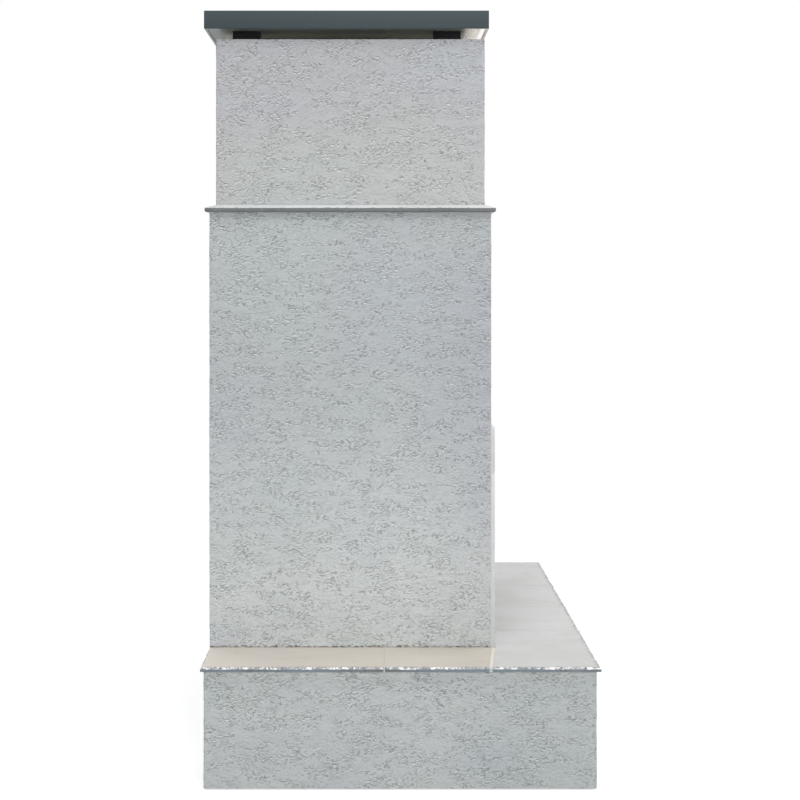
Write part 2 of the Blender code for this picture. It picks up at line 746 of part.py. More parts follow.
def build_firebox():
    """Make the steel shell, its refractory lining and the log grate."""
    front_half, back_half = FIREBOX_FRONT_WIDTH / 2, FIREBOX_BACK_WIDTH / 2
    plan = [
        (-front_half, SHELL_FRONT),
        (front_half, SHELL_FRONT),
        (back_half, SHELL_BACK),
        (-back_half, SHELL_BACK),
    ]
    shell = plan_plate("firebox_shell", plan, SHELL_BOTTOM, SHELL_TOP, BLACK_STEEL)
    near, far = shell_half(SHELL_INSIDE_FRONT), shell_half(SHELL_INSIDE_BACK)
    inside = [
        (-near, SHELL_INSIDE_FRONT),
        (near, SHELL_INSIDE_FRONT),
        (far, SHELL_INSIDE_BACK),
        (-far, SHELL_INSIDE_BACK),
    ]
    hollow = plan_plate("firebox_hollow", inside, SHELL_FLOOR, SHELL_TOP - FIREBOX_SHEET)
    half = OPENING_WIDTH / 2
    mouth_low = (-half, SHELL_FRONT - OVERRUN, SHELL_FLOOR)
    mouth = block("firebox_mouth", mouth_low, (half, SHELL_INSIDE_FRONT + OVERRUN, OPENING_TOP))
    throat_low = (-THROAT_WIDTH / 2, THROAT_FRONT, SHELL_TOP - OVERRUN)
    throat = block("firebox_throat", throat_low, (THROAT_WIDTH / 2, THROAT_BACK, SHELL_TOP + OVERRUN))
    cut(shell, hollow, mouth, throat)

    tongue = half - GAP
    floor_front, floor_back = SHELL_INSIDE_FRONT + GAP, SHELL_INSIDE_BACK - GAP
    floor_near, floor_far = shell_half(floor_front) - GAP, shell_half(floor_back) - GAP
    floor_plan = [
        (-tongue, FACING_FRONT),
        (tongue, FACING_FRONT),
        (tongue, floor_front),
        (floor_near, floor_front),
        (floor_far, floor_back),
        (-floor_far, floor_back),
        (-floor_near, floor_front),
        (-tongue, floor_front),
    ]
    plan_plate("brick_floor", floor_plan, SHELL_FLOOR + GAP, BRICK_FLOOR_TOP, FIRE_BRICK)

    lining_low, lining_high = BRICK_FLOOR_TOP + GAP, SHELL_TOP - FIREBOX_SHEET - GAP
    for side, sign in SIDES.items():
        wide, narrow = shell_half(PANEL_FRONT) - GAP, shell_half(PANEL_BACK) - GAP
        outline = [
            (wide, PANEL_FRONT),
            (narrow, PANEL_BACK),
            (narrow - PANEL, PANEL_BACK),
            (wide - PANEL, PANEL_FRONT),
        ]
        places = [(sign * across, deep) for across, deep in outline]
        plan_plate(f"brick_wall_{side}", places, lining_low, lining_high, FIRE_BRICK)
    back_front = PANEL_BACK + GAP
    back_near, back_far = shell_half(back_front) - GAP, shell_half(floor_back) - GAP
    back_plan = [
        (-back_near, back_front),
        (back_near, back_front),
        (back_far, floor_back),
        (-back_far, floor_back),
    ]
    plan_plate("brick_wall_back", back_plan, lining_low, lining_high, FIRE_BRICK)


def build_grate():
    """Weld the log grate from bars with upturned tips on two legged rails."""
    foot = BRICK_FLOOR_TOP + GAP
    rail_top = foot + GRATE_LEG
    middle = (PANEL_FRONT + PANEL_BACK) / 2
    reach, rail_offset = GRATE_DEPTH / 2, GRATE_DEPTH / 4
    flat = reach - GRATE_TIP_RUN
    outline = [
        (-reach, GRATE_TIP_RISE),
        (-flat, 0),
        (flat, 0),
        (reach, GRATE_TIP_RISE),
        (reach - GRATE_BAR, GRATE_TIP_RISE),
        (flat - GRATE_BAR / 2, GRATE_BAR),
        (GRATE_BAR / 2 - flat, GRATE_BAR),
        (GRATE_BAR - reach, GRATE_TIP_RISE),
    ]
    upright = Matrix(((0, 0, 1, 0), (1, 0, 0, middle), (0, 1, 0, rail_top - GRATE_BAR / 2), (0, 0, 0, 1)))
    bars = []
    half = GRATE_WIDTH / 2
    for rail in (-1, 1):
        deep = middle + rail * rail_offset
        low = (TUBE_STEP - half, deep - GRATE_BAR / 2, rail_top - GRATE_BAR)
        bars.append(block(f"grate_rail_{rail}", low, (half - TUBE_STEP, deep + GRATE_BAR / 2, rail_top)))
        leg_half = GRATE_BAR / 2 - TUBE_STEP
        for sign in SIDES.values():
            near, far = sorted((sign * (half - 2 * TUBE_STEP), sign * (half - GRATE_BAR)))
            leg_low = (near, deep - leg_half, foot)
            leg_high = (far, deep + leg_half, rail_top - GRATE_BAR / 2)
            bars.append(block(f"grate_leg_{rail}_{sign}", leg_low, leg_high))
    step = (GRATE_WIDTH - GRATE_BAR) / (GRATE_BARS - 1)
    for index in range(GRATE_BARS):
        across = index * step - (GRATE_WIDTH - GRATE_BAR) / 2
        place = Matrix.Translation((across, 0, 0)) @ upright
        bars.append(extruded(f"grate_bar_{index}", outline, GRATE_BAR, place))
    welded_frame("log_grate", bars, CAST_IRON)


def build_damper():
    """Make the damper's frame with hinge lugs, its blade on a shaft, and the lever."""
    frame_low = (-THROAT_WIDTH / 2 - DAMPER_RIM, THROAT_FRONT - DAMPER_RIM, SHELL_TOP + GAP)
    frame_high = (THROAT_WIDTH / 2 + DAMPER_RIM, THROAT_BACK + DAMPER_RIM, DAMPER_SEAT)
    frame = block("damper_frame", frame_low, frame_high, CAST_IRON)
    throat_low = (-THROAT_WIDTH / 2, THROAT_FRONT, SHELL_TOP - OVERRUN)
    cut(frame, block("damper_throat", throat_low, (THROAT_WIDTH / 2, THROAT_BACK, DAMPER_SEAT + OVERRUN)))
    blade_half = THROAT_WIDTH / 2 + DAMPER_LAP
    lug_inside = blade_half + LUG_CLEARANCE
    lug_outside = lug_inside + LUG_THICKNESS
    lug_top = HINGE.z + SHAFT_RADIUS + LUG_CROWN
    lugs = []
    for side, sign in SIDES.items():
        near, far = sorted((sign * lug_inside, sign * lug_outside))
        low = (near, HINGE.y - LUG_WIDTH / 2, DAMPER_SEAT - DAMPER_FRAME / 2)
        lugs.append(block(f"damper_lug_{side}", low, (far, HINGE.y + LUG_WIDTH / 2, lug_top)))
    weld(frame, *lugs)
    bore_end = lug_outside + OVERRUN
    bore_start, bore_stop = (-bore_end, HINGE.y, HINGE.z), (bore_end, HINGE.y, HINGE.z)
    cut(frame, cylinder("damper_bore", SHAFT_RADIUS + SHAFT_CLEARANCE, bore_start, bore_stop))

    blade_low = (-blade_half, HINGE.y, DAMPER_SEAT + GAP)
    blade_high = (blade_half, THROAT_BACK + DAMPER_LAP, DAMPER_SEAT + GAP + DAMPER_BLADE)
    blade = block("damper_blade", blade_low, blade_high, CAST_IRON)
    shaft_start, shaft_stop = (-lug_outside, HINGE.y, HINGE.z), (lug_outside, HINGE.y, HINGE.z)
    shaft = cylinder("damper_shaft", SHAFT_RADIUS, shaft_start, shaft_stop)
    ribs = []
    for share in DAMPER_RIB_SHARES:
        across = share * blade_half
        low = (across - DAMPER_RIB_WIDTH / 2, HINGE.y, blade_high[2] - DAMPER_BLADE / 2)
        high = (across + DAMPER_RIB_WIDTH / 2, THROAT_BACK, blade_high[2] + DAMPER_RIB_HEIGHT)
        ribs.append(block(f"damper_rib_{share}", low, high))
    weld(blade, shaft, *ribs)

    foot_front = THROAT_FRONT + LEVER_RADIUS
    foot_low = (-LEVER_FOOT_WIDTH / 2, foot_front, DAMPER_SEAT - LEVER_FOOT_THICKNESS)
    foot_high = (LEVER_FOOT_WIDTH / 2, foot_front + LEVER_FOOT_DEPTH, DAMPER_SEAT)
    foot = block("damper_lever", foot_low, foot_high, BLACK_STEEL)
    stem = THROAT_FRONT + LEVER_OFFSET
    grip = DAMPER_SEAT - LEVER_REACH
    path = [Vector((0, stem, DAMPER_SEAT - LEVER_FOOT_THICKNESS / 2))]
    loop_centre = Vector((0, stem, grip + LEVER_LOOP))
    for index in range(LEVER_LOOP_POINTS):
        angle = pi / 2 - tau * LEVER_LOOP_SHARE * index / (LEVER_LOOP_POINTS - 1)
        path.append(loop_centre + Vector((0, LEVER_LOOP * cos(angle), LEVER_LOOP * sin(angle))))
    weld(foot, rod("lever_rod", path, LEVER_RADIUS, sides=2))
    hang(joint_marker("damper_hinge", HINGE), blade, foot)


def rectangle_loop(half_width, half_depth, centre, height, count):
    """Return a rectangle's rim as evenly shared points, starting from its front right corner."""
    corners = [(1, -1), (1, 1), (-1, 1), (-1, -1)]
    along_side = count // len(corners)
    places = []
    for index in range(count):
        start = corners[index // along_side]
        stop = corners[(index // along_side + 1) % len(corners)]
        share = index % along_side / along_side
        across = start[0] + (stop[0] - start[0]) * share
        deep = start[1] + (stop[1] - start[1]) * share
        places.append((across * half_width, centre + deep * half_depth, height))
    return places


def build_smoke_path():
    """Make the smoke chamber, lofted from the damper to the round flue, and the flue pipe."""
    half_width = THROAT_WIDTH / 2 + DAMPER_RIM + CHAMBER_CLEARANCE
    half_depth = THROAT_DEPTH / 2 + DAMPER_RIM + CHAMBER_CLEARANCE
    throat_middle = (THROAT_FRONT + THROAT_BACK) / 2
    low, skirt = SHELL_TOP + GAP, SHELL_TOP + CHAMBER_SKIRT
    collar = []
    for index in range(FLUE_FACETS):
        angle = tau * index / FLUE_FACETS - pi / 4
        collar.append((FLUE_RADIUS * cos(angle), FLUE_CENTRE + FLUE_RADIUS * sin(angle)))
    rings = [
        rectangle_loop(half_width, half_depth, throat_middle, low, FLUE_FACETS),
        rectangle_loop(half_width, half_depth, throat_middle, skirt, FLUE_FACETS),
        [(*place, CHAMBER_TOP - CHAMBER_COLLAR) for place in collar],
        [(*place, CHAMBER_TOP) for place in collar],
    ]
    places = [place for ring in rings for place in ring]
    faces = []
    for level in range(len(rings) - 1):
        for index in range(FLUE_FACETS):
            first = level * FLUE_FACETS + index
            second = level * FLUE_FACETS + (index + 1) % FLUE_FACETS
            faces.append((first, second, second + FLUE_FACETS, first + FLUE_FACETS))
    mesh = bpy.data.meshes.new("smoke_chamber")
    mesh.from_pydata(places, [], faces)
    chamber = add_piece("smoke_chamber", mesh, GALVANISED)
    wall = chamber.modifiers.new("Sheet", "SOLIDIFY")
    wall.thickness = CHAMBER_SHEET
    wall.offset = 1

    outer = FLUE_RADIUS + FLUE_SHEET
    bottom, top = CHAMBER_TOP + GAP, COLUMN_TOP + FLUE_PROUD
    profile = [(outer, top), (outer, bottom), (FLUE_RADIUS, bottom), (FLUE_RADIUS, top)]
    turned("flue_pipe", profile, Matrix.Translation((0, FLUE_CENTRE, 0)), GALVANISED)


def build_top():
    """Make the plate that closes the column round the flue, and the spark arrestor."""
    face = UPPER.inset(STUCCO + GAP)
    plate = slab("chimney_top_plate", face, COLUMN_TOP - TOP_PLATE, COLUMN_TOP, GALVANISED)
    hole_start = (0, FLUE_CENTRE, COLUMN_TOP - OVERRUN)
    hole_stop = (0, FLUE_CENTRE, COLUMN_TOP + OVERRUN)
    hole_radius = FLUE_RADIUS + FLUE_SHEET + FLUE_CLEARANCE
    cut(plate, cylinder("flue_hole", hole_radius, hole_start, hole_stop, facets=FLUE_FACETS))
    for across, deep in post_places():
        hole_start = (across, deep, COLUMN_TOP - OVERRUN)
        hole_stop = (across, deep, COLUMN_TOP + OVERRUN)
        cut(plate, cylinder("bolt_hole", BOLT_HOLE_RADIUS, hole_start, hole_stop))

    bottom, top = COLUMN_TOP + GAP, CAP_TOP - CAP_SHEET - GAP
    places = []
    for share in ARRESTOR_RING_SHARES:
        for index in range(ARRESTOR_STRIPS):
            angle = tau * index / ARRESTOR_STRIPS
            across, deep = ARRESTOR_RADIUS * cos(angle), ARRESTOR_RADIUS * sin(angle)
            places.append((across, FLUE_CENTRE + deep, bottom + (top - bottom) * share))
    faces = []
    for level in range(len(ARRESTOR_RING_SHARES) - 1):
        for index in range(ARRESTOR_STRIPS):
            if level % 2 == 1 and index % 2 == 1:
                continue
            first = level * ARRESTOR_STRIPS + index
            second = level * ARRESTOR_STRIPS + (index + 1) % ARRESTOR_STRIPS
            faces.append((first, second, second + ARRESTOR_STRIPS, first + ARRESTOR_STRIPS))
    mesh = bpy.data.meshes.new("spark_arrestor")
    mesh.from_pydata(places, [], faces)
    arrestor = add_piece("spark_arrestor", mesh, GALVANISED)
    wall = arrestor.modifiers.new("Sheet", "SOLIDIFY")
    wall.thickness = ARRESTOR_SHEET
    wall.offset = 1


def post_places():
    """Return the plan centres of the four cap posts."""
    across = UPPER.right - POST_INSET - POST_LENGTH / 2
    deep = (CAP.back - CAP.front - POST_WIDTH) / 2 - POST_END_INSET
    middle = CAP.middle()
    return [(side * across, middle + end * deep) for side in (-1, 1) for end in (-1, 1)]


def build_cap():
    """Make the folded cap tray, the soffit that rests on its hem and the four channel posts."""
    width, depth = CAP.right - CAP.left, CAP.back - CAP.front
    shape = bmesh.new()
    bmesh.ops.create_cube(shape, size=1)
    bmesh.ops.scale(shape, vec=(width, depth, CAP_FASCIA), verts=shape.verts)
    bmesh.ops.translate(shape, vec=(0, CAP.middle(), (CAP_BOTTOM + CAP_TOP) / 2), verts=shape.verts)
    underside = [face for face in shape.faces if face.normal.z < -LEVEL_NORMAL]
    roof = [face for face in shape.faces if face.normal.z > LEVEL_NORMAL]
    inset = bmesh.ops.inset_region(shape, faces=underside, thickness=CAP_HEM, use_even_offset=True)
    hem = set(inset["faces"])
    middle = [face for face in shape.faces if face.normal.z < -LEVEL_NORMAL and face not in hem]
    bmesh.ops.delete(shape, geom=middle, context="FACES_ONLY")
    crown = bmesh.ops.poke(shape, faces=roof)
    for vert in crown["verts"]:
        vert.co.z += CAP_CROWN
    mesh = bpy.data.meshes.new("cap_tray")
    shape.to_mesh(mesh)
    shape.free()
    tray = add_piece("cap_tray", mesh, CAP_METAL)
    wall = tray.modifiers.new("Sheet", "SOLIDIFY")
    wall.thickness = CAP_SHEET
    wall.offset = -1
    wall.use_even_offset = True

    half_length, half_width = POST_LENGTH / 2, POST_WIDTH / 2
    bottom = CAP_BOTTOM + CAP_SHEET + GAP
    low, high = bottom - OVERRUN, bottom + SOFFIT_LIP + OVERRUN
    mouth = Footprint(
        CAP.left + SOFFIT_SIDE_FLANGE,
        CAP.right - SOFFIT_SIDE_FLANGE,
        CAP.front + SOFFIT_END_FLANGE,
        CAP.back - SOFFIT_END_FLANGE,
    )
    soffit = slab("cap_soffit", CAP.inset(CAP_SHEET + GAP), bottom, bottom + CAP_SHEET, SOFFIT_COAT)
    lip = slab("soffit_lip", mouth.inset(-CAP_SHEET), bottom + CAP_SHEET / 2, bottom + SOFFIT_LIP)
    notches = []
    for number, (across, deep) in enumerate(post_places(), start=1):
        room_along, room_across = half_length + NOTCH_ROOM, half_width + NOTCH_ROOM
        near_corner = (across - room_along, deep - room_across, low)
        far_corner = (across + room_along, deep + room_across, high)
        notches.append(block(f"soffit_notch_{number}", near_corner, far_corner))
    cut(weld(soffit, lip), slab("soffit_mouth", mouth, low, high), *notches)

    foot, head = COLUMN_TOP + GAP, CAP_TOP - CAP_SHEET - GAP
    for number, (across, deep) in enumerate(post_places(), start=1):
        sign = 1 if across > 0 else -1
        low = (across - half_length, deep - half_width, foot)
        post = block(f"cap_post_{number}", low, (across + half_length, deep + half_width, head), BLACK_STEEL)
        web = across + sign * (half_length - POST_SHEET)
        mouth = across - sign * (half_length + OVERRUN)
        near, far = sorted((web, mouth))
        leg = half_width - POST_SHEET
        hollow = block(
            f"post_hollow_{number}",
            (near, deep - leg, foot + POST_FOOT),
            (far, deep + leg, head - POST_FOOT),
        )
        hole_start, hole_stop = (across, deep, foot - OVERRUN), (across, deep, foot + OVERRUN)
        cut(post, hollow, cylinder(f"post_bolt_hole_{number}", BOLT_HOLE_RADIUS, hole_start, hole_stop))


def pleated_outline(start, end, centre):
    """Return the plan outline of a gathered curtain, as a wave with its own thickness."""
    waves = max(1, round(abs(end - start) / CURTAIN_PITCH))
    steps = waves * CURTAIN_STEPS
    near, far = [], []
    for index in range(steps + 1):
        share = index / steps
        angle = tau * waves * share
        across = start + (end - start) * share
        slope = CURTAIN_SWING * cos(angle) * tau * waves / (end - start)
        normal = Vector((-slope, 1)).normalized() * CURTAIN_THICKNESS / 2
        middle = Vector((across, centre + CURTAIN_SWING * sin(angle)))
        at_end = index in (0, steps)
        if at_end:
            normal = Vector((0, normal.length))
        near.append(middle - normal)
        far.append(middle + normal)
    return [tuple(place) for place in near + far[::-1]]


def build_screen():
    """Make the curtain rod, the two pulls that slide on it and the pleated mesh curtains."""
    rod_end = shell_half(PANEL_FRONT) - ROD_OVERHANG
    rail = rod(
        "screen_rod",
        [(-rod_end, ROD_DEPTH, ROD_HEIGHT), (rod_end, ROD_DEPTH, ROD_HEIGHT)],
        ROD_RADIUS,
        CURTAIN_MESH,
    )
    wall = SHELL_INSIDE_FRONT + GAP
    tab_bottom, tab_top = ROD_HEIGHT - ROD_TAB_HEIGHT / 2, ROD_HEIGHT + ROD_TAB_HEIGHT / 2
    tabs = []
    for side, sign in SIDES.items():
        outer = sign * (rod_end - ROD_TAB)
        near, far = sorted((outer, outer - sign * ROD_TAB))
        tab_back = ROD_DEPTH + 2 * ROD_RADIUS
        tabs.append(block(f"rod_tab_{side}", (near, wall, tab_bottom), (far, tab_back, tab_top)))
        near, far = sorted((outer, outer - sign * ROD_FOOT))
        foot_back = wall + ROD_TAB
        tabs.append(block(f"rod_foot_{side}", (near, wall, tab_bottom), (far, foot_back, tab_top)))
    weld(rail, *tabs)

    bottom = BRICK_FLOOR_TOP + CURTAIN_FLOOR_GAP
    top = ROD_HEIGHT - ROD_RADIUS - GAP
    for side, sign in SIDES.items():
        inner_edge = sign * PULL_CLEARANCE / 2
        outer_edge = sign * (PULL_CLEARANCE / 2 + PULL_WIDTH)
        near, far = sorted((inner_edge, outer_edge))
        eye_half = PULL_EYE / 2
        pull = block(
            f"screen_pull_{side}",
            (near, ROD_DEPTH - PULL_THICKNESS / 2, bottom),
            (far, ROD_DEPTH + PULL_THICKNESS / 2, ROD_HEIGHT),
            BLACK_STEEL,
        )
        eye = block(
            f"pull_eye_{side}",
            (near, ROD_DEPTH - eye_half, ROD_HEIGHT - eye_half),
            (far, ROD_DEPTH + eye_half, ROD_HEIGHT + eye_half),
        )
        knob_height = bottom + KNOB_HEIGHT
        profile = [
            (0, KNOB_LENGTH),
            (KNOB_RADIUS * cos(pi / 4), KNOB_LENGTH),
            (KNOB_RADIUS, KNOB_LENGTH - KNOB_RADIUS / 2),
            (KNOB_RADIUS * cos(pi / 4), KNOB_LENGTH - KNOB_RADIUS),
            (KNOB_NECK_RADIUS, KNOB_LENGTH - KNOB_RADIUS),
            (KNOB_NECK_RADIUS, 0),
            (0, 0),
        ]
        centre = (inner_edge + outer_edge) / 2
        knob_place = Matrix.Translation((centre, ROD_DEPTH, knob_height)) @ Matrix.Rotation(pi / 2, 4, "X")
        knob = turned(f"pull_knob_{side}", profile, knob_place, facets=SHAFT_FACETS)
        bore_start = (near - OVERRUN, ROD_DEPTH, ROD_HEIGHT)
        bore_stop = (far + OVERRUN, ROD_DEPTH, ROD_HEIGHT)
        bore = cylinder(f"pull_bore_{side}", ROD_RADIUS + PULL_CLEARANCE, bore_start, bore_stop)
        cut(weld(pull, eye, knob), bore)

        fixed_edge = sign * (rod_end - ROD_TAB - CURTAIN_END_INSET)
        outline = pleated_outline(outer_edge + sign * GAP, fixed_edge, ROD_DEPTH)
        curtain = plan_plate(f"screen_curtain_{side}", outline, bottom, top, CURTAIN_MESH)
        marker = joint_marker(f"screen_slide_{side}", Vector((centre, ROD_DEPTH, ROD_HEIGHT)))
        hang(marker, pull, curtain)


build_base()
build_hearth()
build_column()
build_ledge()
build_firebox()
build_grate()
build_damper()
build_smoke_path()
build_top()
build_cap()
build_screen()
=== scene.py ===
"""Outdoor fireplace: surfaces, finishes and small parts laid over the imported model.

The stucco coats, chipped hearth tiles, ledge, folded cap, brick lining, mesh curtains and
fastenings are modelled here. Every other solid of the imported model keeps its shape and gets
a finish.
Metres, +Z up, front towards -Y.
"""

import json
import logging
from contextlib import contextmanager
from dataclasses import dataclass, field
from enum import Enum
from math import cos, pi, radians, sin, tau
from typing import Callable, Iterator, Mapping, Protocol, Sequence, Union

import bmesh
import bpy
from mathutils import Matrix, Vector, noise


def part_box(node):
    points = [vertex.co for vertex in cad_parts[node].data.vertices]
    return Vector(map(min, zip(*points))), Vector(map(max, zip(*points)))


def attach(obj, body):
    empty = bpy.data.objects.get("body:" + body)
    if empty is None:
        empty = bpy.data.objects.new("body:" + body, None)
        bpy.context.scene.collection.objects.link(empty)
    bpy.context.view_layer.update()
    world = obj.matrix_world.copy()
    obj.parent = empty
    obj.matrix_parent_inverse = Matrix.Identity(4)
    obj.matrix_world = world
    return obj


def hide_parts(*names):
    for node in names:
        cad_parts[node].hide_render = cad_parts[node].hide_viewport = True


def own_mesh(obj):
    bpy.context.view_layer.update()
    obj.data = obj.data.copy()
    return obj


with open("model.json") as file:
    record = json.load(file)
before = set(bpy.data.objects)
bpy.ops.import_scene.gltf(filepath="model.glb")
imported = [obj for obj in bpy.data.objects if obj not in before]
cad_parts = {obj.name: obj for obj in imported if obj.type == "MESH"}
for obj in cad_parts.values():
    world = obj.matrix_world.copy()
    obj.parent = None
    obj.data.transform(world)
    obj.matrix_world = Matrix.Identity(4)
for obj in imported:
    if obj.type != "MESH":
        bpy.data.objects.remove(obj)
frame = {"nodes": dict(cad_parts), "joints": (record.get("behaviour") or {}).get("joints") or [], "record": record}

LOG = logging.getLogger("outdoor_fireplace")
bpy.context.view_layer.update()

Shade = tuple[int, int, int]
Point = tuple[float, float, float]
Colour = tuple[float, float, float, float]
Band = tuple[float, float]
Value = Union["Wire", float, Sequence[float]]
Test = Callable[[object], bool]


class Body(Enum):
    """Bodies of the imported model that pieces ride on."""

    FIXED = "fireplace"
    DAMPER = "damper"
    SCREEN_LEFT = "screen_left"
    SCREEN_RIGHT = "screen_right"


class Parts(Enum):
    """What an edit picks from a mesh, with the matching select mode."""

    VERTS = "VERT"
    EDGES = "EDGE"
    FACES = "FACE"


class Axis(Enum):
    """The three axes, each with its place in a vector."""

    X = 0
    Y = 1
    Z = 2


class Side(Enum):
    """The fireplace's two sides, as its pieces' names have them."""

    LEFT = "left"
    RIGHT = "right"

    @property
    def sign(self) -> int:
        """Return the side's direction along X."""
        return -1 if self is Side.LEFT else 1


class Blend(Enum):
    """The ways in which one colour is laid over another."""

    MIX = "MIX"
    MULTIPLY = "MULTIPLY"


class Finish(Protocol):
    """A surface that can make its own material."""

    def dress(self) -> bpy.types.Material:
        """Make the material."""


@dataclass(frozen=True)
class Grain:
    """A noise in a shader: features in a metre, layers of detail, their strength and a warp."""

    per_metre: float
    detail: float = 3.0
    roughness: float = 0.5
    distortion: float = 0.0


@dataclass(frozen=True)
class Swell:
    """A noise that shapes a mesh: features in a metre, and the share of it that is laid on."""

    per_metre: float
    share: float = 1.0

    def at(self, place: Vector, start: Vector = Vector()) -> float:
        """Return its height at a place, read from a start of its own."""
        return self.share * noise.noise(place * self.per_metre + start)


def linear(shade: Shade) -> Colour:
    """Turn an sRGB shade into linear light.

    Args:
        shade: Red, green and blue in bytes.

    Returns:
        Red, green, blue and full alpha as linear shares.
    """
    shares = [part / 255 for part in shade]
    light = [s / 12.92 if s <= 0.04045 else ((s + 0.055) / 1.055) ** 2.4 for s in shares]
    return light[0], light[1], light[2], 1.0


class Wire:
    """A shader socket that can stand in an expression."""

    def __init__(self, board: "ShaderBoard", socket: bpy.types.NodeSocket) -> None:
        """Keep the socket and the board it is on."""
        self.board = board
        self.socket = socket

    def _math(self, operation: str, first: Value, second: Value = 0.0) -> "Wire":
        """Add one Math node and return its result."""
        return self.board.node("ShaderNodeMath", {"operation": operation}, {0: first, 1: second})

    def __add__(self, other: Value) -> "Wire":
        """Return the sum."""
        return self._math("ADD", self, other)

    def __sub__(self, other: Value) -> "Wire":
        """Return the difference."""
        return self._math("SUBTRACT", self, other)

    def __rsub__(self, other: Value) -> "Wire":
        """Return the difference from other."""
        return self._math("SUBTRACT", other, self)

    def __mul__(self, other: Value) -> "Wire":
        """Return the product."""
        return self._math("MULTIPLY", self, other)

    def __abs__(self) -> "Wire":
        """Return the size without its sign."""
        return self._math("ABSOLUTE", self)

    def larger(self, other: Value) -> "Wire":
        """Return the greater of the two."""
        return self._math("MAXIMUM", self, other)

    def wave(self) -> "Wire":
        """Return the sine."""
        return self._math("SINE", self)


class ShaderBoard:
    """The nodes of a material or a world, added by one method."""

    def __init__(self, name: str, owner: Union[bpy.types.World, None] = None) -> None:
        """Start a material with its Principled shader, or take a world's nodes.

        Args:
            name: The material's name.
            owner: The world to take instead of a new material.
        """
        self.material = owner or bpy.data.materials.new(name)
        self.material.use_nodes = True
        self.tree = self.material.node_tree
        self.surface = self.tree.nodes["Background" if owner else "Principled BSDF"]

    def plug(self, socket: bpy.types.NodeSocket, value: Value) -> None:
        """Link a wire to a socket, or set the socket's own value.

        Args:
            socket: The input to feed.
            value: A wire, a number or a list of numbers.
        """
        if isinstance(value, Wire):
            self.tree.links.new(value.socket, socket)
        else:
            socket.default_value = value

    def node(self, kind: str, settings: Mapping[str, object],
             sockets: Mapping[Union[int, str], Value], output: Union[int, str] = 0) -> Wire:
        """Add one node.

        Args:
            kind: The node's type.
            settings: Its properties, set before the sockets.
            sockets: Values or wires by input name or number.
            output: The output to return.

        Returns:
            That output as a wire.
        """
        made = self.tree.nodes.new(kind)
        for name, value in settings.items():
            setattr(made, name, value)
        for name, value in sockets.items():
            self.plug(made.inputs[name], value)
        return Wire(self, made.outputs[output])

    def seen(self) -> Wire:
        """Tell the rays that show a surface from those that carry light.

        Returns:
            1 for camera, mirror and glass rays, and 0 for the others.
        """
        path = "ShaderNodeLightPath"
        camera = self.node(path, {}, {}, "Is Camera Ray")
        mirrored = self.node(path, {}, {}, "Is Glossy Ray")
        return camera.larger(mirrored).larger(self.node(path, {}, {}, "Is Transmission Ray"))

    def place(self, scale: Point = (1.0, 1.0, 1.0), turn: Point = (0.0, 0.0, 0.0),
              rise: float = 0.0) -> Wire:
        """Give a noise its coordinates.

        Args:
            scale: The stretch along each axis.
            turn: The turn about each axis, in radians.
            rise: How far above the surface point they are read.

        Returns:
            The object's own coordinates, stretched and turned.
        """
        coordinates = self.node("ShaderNodeTexCoord", {}, {}, "Object")
        sockets = {"Vector": coordinates, "Scale": scale, "Rotation": turn,
                   "Location": (0.0, 0.0, rise * scale[2])}
        return self.node("ShaderNodeMapping", {}, sockets)

    def axis(self, axis: Axis) -> Wire:
        """Return one object coordinate."""
        coordinates = self.node("ShaderNodeTexCoord", {}, {}, "Object")
        return self.node("ShaderNodeSeparateXYZ", {}, {0: coordinates}, axis.name)

    def noise(self, vector: Wire, grain: Grain) -> Wire:
        """Read a smooth noise.

        Args:
            vector: Where it is read.
            grain: Its size and character.

        Returns:
            A value between about 0.25 and 0.75.
        """
        sockets = {"Vector": vector, "Scale": grain.per_metre, "Detail": grain.detail,
                   "Roughness": grain.roughness, "Distortion": grain.distortion}
        return self.node("ShaderNodeTexNoise", {}, sockets, "Fac")

    def cells(self, vector: Wire, per_metre: float, output: str = "Distance") -> Wire:
        """Return one output of a Voronoi pattern with so many cells in a metre."""
        return self.node("ShaderNodeTexVoronoi", {}, {"Vector": vector, "Scale": per_metre}, output)

    def span(self, value: Wire, low: float, high: float, start: float = 0.0,
             stop: float = 1.0) -> Wire:
        """Ease a value from one level to another.

        Args:
            value: What decides between the two.
            low: Its value at the first level.
            high: Its value at the second level.
            start: The first level.
            stop: The second level.

        Returns:
            The level, held outside of low and high.
        """
        sockets = {"Value": value, "From Min": low, "From Max": high, "To Min": start,
                   "To Max": stop}
        return self.node("ShaderNodeMapRange", {"interpolation_type": "SMOOTHSTEP"}, sockets)

    def tint(self, share: Value, first: Value, second: Value, blend: Blend = Blend.MIX) -> Wire:
        """Return two colours mixed by a share."""
        settings = {"data_type": "RGBA", "blend_type": blend.value}
        return self.node("ShaderNodeMix", settings, {0: share, 6: first, 7: second}, 2)

    def bump(self, height: Wire, distance: float) -> Wire:
        """Return a normal bent by a height of that many metres."""
        return self.node("ShaderNodeBump", {}, {"Height": height, "Distance": distance})

    def finish(self, **sockets: Value) -> bpy.types.Material:
        """Feed the Principled shader.

        Args:
            sockets: Values or wires by socket name, with underscores for spaces.

        Returns:
            The material.
        """
        for name, value in sockets.items():
            self.plug(self.surface.inputs[name.replace("_", " ")], value)
        return self.material


@dataclass(frozen=True)
class ToneDrift:
    """A slow change of tone along one axis, with the share of its colour kept at the far end."""

    axis: Axis
    start: float
    stop: float
    kept: Point
    both_ways: bool = False

    def over(self, board: ShaderBoard, colour: Wire) -> Wire:
        """Lay the change over a colour.

        Args:
            board: The material's nodes.
            colour: The colour before the change.

        Returns:
            The colour after it.
        """
        along = board.axis(self.axis)
        share = board.span(abs(along) if self.both_ways else along, self.start, self.stop)
        return board.tint(share, colour, (*self.kept, 1.0), Blend.MULTIPLY)


